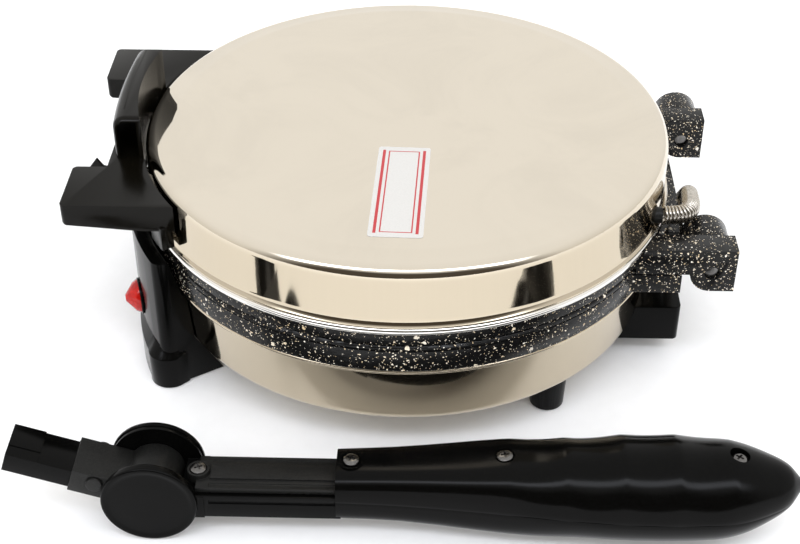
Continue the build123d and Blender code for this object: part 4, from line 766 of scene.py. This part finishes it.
GRIP_ROWS = [
    (-26, 12.6, 21.0), (1, 13.6, 21.5), (35, 16.4, 21.5), (70, 20.1, 21.4), (104, 22.1, 22.3),
    (134, 21.2, 22.5), (146, 18.9, 22.8), (158, 13.9, 23.8), (166, 9.0, 24.8), (171, 3.0, 25.6),
]
GRIP_WIDTH = 1.05
SCREW_SPOTS = [(-85.2, 26.9, 0.4), (-19.7, 33.7, 1.1), (45.2, 37.5, 0.2), (143.5, 38.5, 0.9)]
POCKET_R = 4.3
POCKET_DEPTH = 20.0
BOSS_FOOT_R = 5.5
BOSS_TOP_R = 5.3
BOSS_DEPTH = 8.0
BOSS_RISE = 0.9
SQUARE_END_Y = 30.0
ROUND_START = 50.0
SQUARE_POWER = 3.2
GRIP_SPLIT = 22.0


def smooth_row(y):
    """Half height and centre height of the grip at y, by a Catmull-Rom curve through the rows."""
    rows = GRIP_ROWS
    k = max(i for i in range(len(rows) - 1) if y >= rows[i][0] or i == 0)
    before = rows[max(k - 1, 0)]
    one, two = rows[k], rows[k + 1]
    after = rows[min(k + 2, len(rows) - 1)]
    t = (y - one[0]) / (two[0] - one[0])
    values = []
    for j in (1, 2):
        slope_one = (two[j] - before[j]) / (two[0] - before[0]) * (two[0] - one[0])
        slope_two = (after[j] - one[j]) / (after[0] - one[0]) * (two[0] - one[0])
        h00 = 2 * t ** 3 - 3 * t ** 2 + 1
        h10 = t ** 3 - 2 * t ** 2 + t
        h01 = -2 * t ** 3 + 3 * t ** 2
        h11 = t ** 3 - t ** 2
        values.append(h00 * one[j] + h10 * slope_one + h01 * two[j] + h11 * slope_two)
    return values


SCALLOPS = (59.0, 83.5, 106.5, 129.5)
SCALLOP_HALF = 11.8
SCALLOP_DEPTH = 1.5
SCALLOP_LEAN = math.radians(80)


def scallop(y, angle):
    """How far the grip is pressed in at y and at an angle from +X."""
    around = max(0.0, math.cos(angle - SCALLOP_LEAN)) ** 1.4
    along = 0.0
    for middle in SCALLOPS:
        off = abs(y - middle) / SCALLOP_HALF
        if off < 1:
            along = max(along, math.cos(off * math.pi / 2) ** 1.1)
    return SCALLOP_DEPTH * around * along


def squareness(y):
    """Power of the grip's section: a rounded square at the lever's end, round further on."""
    t = max(0.0, min(1.0, (y - SQUARE_END_Y) / ROUND_START))
    return SQUARE_POWER - (SQUARE_POWER - 2.0) * t * t * (3 - 2 * t)


def with_screw_recesses(piece):
    """A round boss at the lever's end, and pockets in the top of the grip for its three screws."""
    bm = bmesh.new()
    y, z = SCREW_SPOTS[1][:2]
    foot, crown = z - BOSS_DEPTH, z + BOSS_RISE
    bmesh.ops.create_cone(
        bm, cap_ends=True, segments=48, radius1=BOSS_FOOT_R * MM, radius2=BOSS_TOP_R * MM,
        depth=(crown - foot) * MM, matrix=Matrix.Translation(at_handle(0, y, (foot + crown) / 2)),
    )
    boss = piece_from(bm, "screw_boss")
    bm = bmesh.new()
    for y, z, _ in SCREW_SPOTS[1:]:
        spot = at_handle(0, y, z + POCKET_DEPTH / 2)
        bmesh.ops.create_cone(
            bm, cap_ends=True, segments=40, radius1=POCKET_R * MM, radius2=POCKET_R * MM,
            depth=POCKET_DEPTH * MM, matrix=Matrix.Translation(spot),
        )
    cutter = piece_from(bm, "screw_pockets")
    for label, other, kind in (("boss", boss, "UNION"), ("pockets", cutter, "DIFFERENCE")):
        step = piece.modifiers.new(label, "BOOLEAN")
        step.object, step.operation, step.solver = other, kind, "EXACT"
    baked = bake_modifiers(piece)
    bm = bmesh.new()
    bm.from_mesh(baked)
    name = piece.name
    for old in (piece, cutter, boss):
        old_mesh = old.data
        bpy.data.objects.remove(old)
        bpy.data.meshes.remove(old_mesh)
    bpy.data.meshes.remove(baked)
    return piece_from(bm, name, 50, recalc=False)


def grip_half(node, name, upper):
    bm = bmesh.new()
    steps, count = 150, 56
    y0, y1 = GRIP_ROWS[0][0], GRIP_ROWS[-1][0]
    seam = 0.18
    rows = []
    for i in range(steps + 1):
        y = y0 + (y1 - y0) * (1 - (1 - i / steps) ** 1.35)
        half, centre = smooth_row(min(y, y1))
        row = []
        cut = max(-1.0, min(1.0, (GRIP_SPLIT - centre) / half))
        edge = math.asin(cut)
        for k in range(count + 1):
            if upper:
                angle = edge + (math.pi - 2 * edge) * k / count
            else:
                angle = edge - (math.pi + 2 * edge) * k / count
            press = scallop(y, angle) if upper else 0.0
            power = squareness(y)
            ca, sa = math.cos(angle), math.sin(angle)
            swell = (abs(ca) ** power + abs(sa) ** power) ** (-1 / power)
            x = (half * GRIP_WIDTH - press) * swell * ca
            z = centre + (half - press) * swell * sa
            if k in (0, count):
                x -= math.copysign(seam, x)
            row.append(bm.verts.new(at_handle(x, y, z)))
        rows.append(row)
    for one, two in zip(rows, rows[1:]):
        for k in range(count):
            bm.faces.new((one[k], one[k + 1], two[k + 1], two[k]))
        bm.faces.new((one[count], one[0], two[0], two[count]))
    bm.faces.new(rows[0])
    bm.faces.new(list(reversed(rows[-1])))
    piece = piece_from(bm, name, 50)
    return dress(with_screw_recesses(piece) if upper else piece, node)


def at_handle(x, y, z):
    """A point by millimetres off the lever's centre line, y from the cooker's axis."""
    return Vector((HANDLE_X + x * MM, AXIS_Y + y * MM, z * MM))


def screw_head(bm, centre, radius, height, turn=0.0):
    """A low domed head with a cross recess, its top facing up."""
    sides = 28
    rings = [(radius, 0.0), (radius, height * 0.45), (radius * 0.93, height * 0.72),
             (radius * 0.72, height * 0.93), (radius * 0.56, height)]
    made = []
    for r, z in rings:
        made.append([
            bm.verts.new((
                centre.x + r * MM * math.cos(2 * math.pi * k / sides),
                centre.y + r * MM * math.sin(2 * math.pi * k / sides), centre.z + z * MM,
            )) for k in range(sides)
        ])
    for one, two in zip(made, made[1:]):
        for k in range(sides):
            after = (k + 1) % sides
            bm.faces.new((one[k], one[after], two[after], two[k]))
    bm.faces.new(list(reversed(made[0])))
    # cross recess: arms pushed down inside the top
    arm, slot, deep = radius * 0.50, radius * 0.13, height * 0.55
    plus = []
    for quarter in range(4):
        a = turn + quarter * math.pi / 2
        ca, sa = math.cos(a), math.sin(a)
        for u, v in ((arm, -slot), (arm, slot), (slot, slot)):
            plus.append((centre.x + (u * ca - v * sa) * MM, centre.y + (u * sa + v * ca) * MM))
    top = [bm.verts.new((x, y, centre.z + height * MM)) for x, y in plus]
    low = [bm.verts.new((x, y, centre.z + (height - deep) * MM)) for x, y in plus]
    for k in range(12):
        after = (k + 1) % 12
        bm.faces.new((top[after], top[k], low[k], low[after]))
    bm.faces.new(low)
    outer = made[-1]
    loop_edges = [bm.edges.get((outer[k], outer[(k + 1) % sides])) for k in range(sides)]
    cross_edges = [bm.edges.get((top[k], top[(k + 1) % 12])) for k in range(12)]
    bmesh.ops.triangle_fill(bm, use_beauty=True, edges=loop_edges + cross_edges)


def handle_screws():
    bm = bmesh.new()
    for y, z, turn in SCREW_SPOTS:
        screw_head(bm, at_handle(0, y, z), 3.6, 2.2, turn)
    return dress(piece_from(bm, "handle_screw_heads", 35), "handle_screws", finish="bar_steel")


lid_cover()
lid_trim_ring()
base_bowl()
lid_label()
cable_sleeve()
pivot_disc("near_disc", "near_disc_cap", 1)
pivot_disc("far_disc", "far_disc_cap", -1)
grip_half("grip_upper", "grip_upper_shell", True)
grip_half("grip_lower", "grip_lower_shell", False)
handle_screws()

ROUNDED = [
    ("top_cooking_plate", 1.1), ("bottom_cooking_plate", 1.1), ("lid_front_bracket", 1.5),
    ("handle_socket", 0.3), ("front_housing", 1.2),
    ("rear_inlet_box", 1.0), ("inlet_gland", 0.5), ("rear_feet", 0.6), ("indicator_bezel", 0.4),
    ("base_cable_gland", 0.8), ("lever_shaft_lower", 0.6), ("lever_shaft_upper", 0.5),
    ("arm_sleeve", 0.9), ("plug_channel", 0.5), ("arm_rivet", 0.4), ("hinge_pins", 0.4),
    ("hinge_clips", 0.15), ("lid_cable_clip", 0.3), ("indicator_lens", 0.12),
]
DARKENED = {
    "hinge_pins": "bar_steel", "arm_rivet": "grained_black", "handle_socket": "bracket_black",
}
for node_name, edge in ROUNDED:
    piece = softened(node_name, node_name + "_finished", edge)
    dress(piece, node_name, finish=DARKENED.get(node_name))

# ---------------------------------------------------------------- floor, light and camera
FLOOR_DROP = 0.0006


def floor():
    bm = bmesh.new()
    bmesh.ops.create_grid(bm, x_segments=1, y_segments=1, size=6.0)
    bmesh.ops.translate(bm, verts=bm.verts, vec=(0, 0, -FLOOR_DROP))
    piece = piece_from(bm, "floor_sheet")
    material, tree, shader = new_tree("floor_paper")
    place = object_place(tree)
    grain = use_group(tree, GRAIN, place, Fineness=120.0, Low=0.0, High=1.0)
    link(
        tree, two_tones(tree, grain.outputs["Value"], (0.93, 0.93, 0.93), (0.95, 0.95, 0.95)),
        shader.inputs["Base Color"],
    )
    shader.inputs["Roughness"].default_value = 0.9
    piece.data.materials.append(material)


def soft_box(name, spot, aim, size, power, mirrored=True):
    light = bpy.data.lights.new(name, "AREA")
    light.shape = "RECTANGLE"
    light.size, light.size_y = size
    light.energy = power
    lamp = bpy.data.objects.new(name, light)
    lamp.location = spot
    lamp.rotation_euler = (Vector(aim) - Vector(spot)).to_track_quat("-Z", "Y").to_euler()
    lamp.visible_glossy = mirrored
    bpy.context.scene.collection.objects.link(lamp)


def studio():
    """Pale walls, a darker stretch on the handle's side, a bright ceiling strip and soft fills."""
    world = bpy.data.worlds.new("studio")
    world.use_nodes = True
    bpy.context.scene.world = world
    tree = world.node_tree
    back = tree.nodes["Background"]
    coords = add(tree, "ShaderNodeTexCoord")
    split = add(tree, "ShaderNodeSeparateXYZ")
    link(tree, coords.outputs["Generated"], split.inputs["Vector"])
    walls = add(tree, "ShaderNodeValToRGB")
    low, high = walls.color_ramp.elements
    low.position, low.color = 0.0, (1.0, 0.99, 0.97, 1)
    high.position, high.color = 1.0, (1.0, 0.99, 0.97, 1)
    for height, tone in ((0.30, (1.02, 1.01, 0.99)), (0.70, (1.04, 1.03, 1.01))):
        stop = walls.color_ramp.elements.new(height)
        stop.color = (*tone, 1)
    link(tree, split.outputs["Z"], walls.inputs["Fac"])
    # the darker stretch: toward +X, from the table up to mid height
    toward = add(tree, "ShaderNodeMapRange", interpolation_type="SMOOTHSTEP")
    toward.inputs["From Min"].default_value = 0.35
    toward.inputs["From Max"].default_value = 0.80
    link(tree, split.outputs["X"], toward.inputs["Value"])
    below = add(tree, "ShaderNodeMapRange", interpolation_type="SMOOTHSTEP")
    below.inputs["From Min"].default_value = 0.80
    below.inputs["From Max"].default_value = 0.55
    link(tree, split.outputs["Z"], below.inputs["Value"])
    dim = add(tree, "ShaderNodeMath", operation="MULTIPLY")
    link(tree, toward.outputs["Result"], dim.inputs[0])
    link(tree, below.outputs["Result"], dim.inputs[1])
    room = add(tree, "ShaderNodeMix", data_type="RGBA")
    room.inputs["B"].default_value = (0.10, 0.085, 0.07, 1)
    link(tree, dim.outputs["Value"], room.inputs["Factor"])
    link(tree, walls.outputs["Color"], room.inputs["A"])
    # a soft bright strip of ceiling above the handle
    strip = None
    for axis, low_edge, low_full, high_full, high_edge in (
        ("X", 0.34, 0.42, 0.50, 0.60), ("Y", -0.75, -0.45, 0.45, 0.75), ("Z", 0.30, 0.50, 2.0, 3.0),
    ):
        for start, stop in ((low_edge, low_full), (high_edge, high_full)):
            edge = add(tree, "ShaderNodeMapRange", interpolation_type="SMOOTHSTEP")
            edge.inputs["From Min"].default_value = start
            edge.inputs["From Max"].default_value = stop
            link(tree, split.outputs[axis], edge.inputs["Value"])
            if strip is None:
                strip = edge.outputs["Result"]
            else:
                both = add(tree, "ShaderNodeMath", operation="MULTIPLY")
                link(tree, strip, both.inputs[0])
                link(tree, edge.outputs["Result"], both.inputs[1])
                strip = both.outputs["Value"]
    glow = add(tree, "ShaderNodeMix", data_type="RGBA")
    glow.inputs["B"].default_value = (6.5, 6.7, 7.2, 1)
    link(tree, strip, glow.inputs["Factor"])
    link(tree, room.outputs["Result"], glow.inputs["A"])
    link(tree, glow.outputs["Result"], back.inputs["Color"])
    back.inputs["Strength"].default_value = 1.0
    soft_box("side_fill", (1.5, 0.0, 0.75), (0.15, 0, 0), (1.6, 1.0), 14, mirrored=False)
    soft_box("front_fill", (-0.5, -1.2, 1.6), (0, 0, 0), (1.2, 1.2), 4, mirrored=False)
    soft_box("rear_fill", (-0.3, 1.3, 1.6), (0, 0, 0), (1.2, 1.2), 4, mirrored=False)


bpy.context.scene.view_settings.view_transform = "Standard"
PHOTO_WIDTH = 800
CAMERA_PITCH = 36.27
CAMERA_YAW = 1.59
CAMERA_FOCAL_PIXELS = 1500.0
CAMERA_SPOT = at(624.9, 13.9, 475.0)


def camera():
    lens = bpy.data.cameras.new("viewpoint")
    lens.sensor_fit = "HORIZONTAL"
    lens.sensor_width = 36.0
    lens.lens = CAMERA_FOCAL_PIXELS / PHOTO_WIDTH * lens.sensor_width
    lens.clip_start = 0.01
    eye = bpy.data.objects.new("viewpoint", lens)
    pitch, yaw = math.radians(CAMERA_PITCH), math.radians(CAMERA_YAW)
    level = -math.cos(pitch)
    look = Vector((math.cos(yaw) * level, math.sin(yaw) * level, -math.sin(pitch)))
    eye.location = CAMERA_SPOT
    eye.rotation_euler = look.to_track_quat("-Z", "Y").to_euler()
    bpy.context.scene.collection.objects.link(eye)
    bpy.context.scene.camera = eye


camera()
floor()
studio()
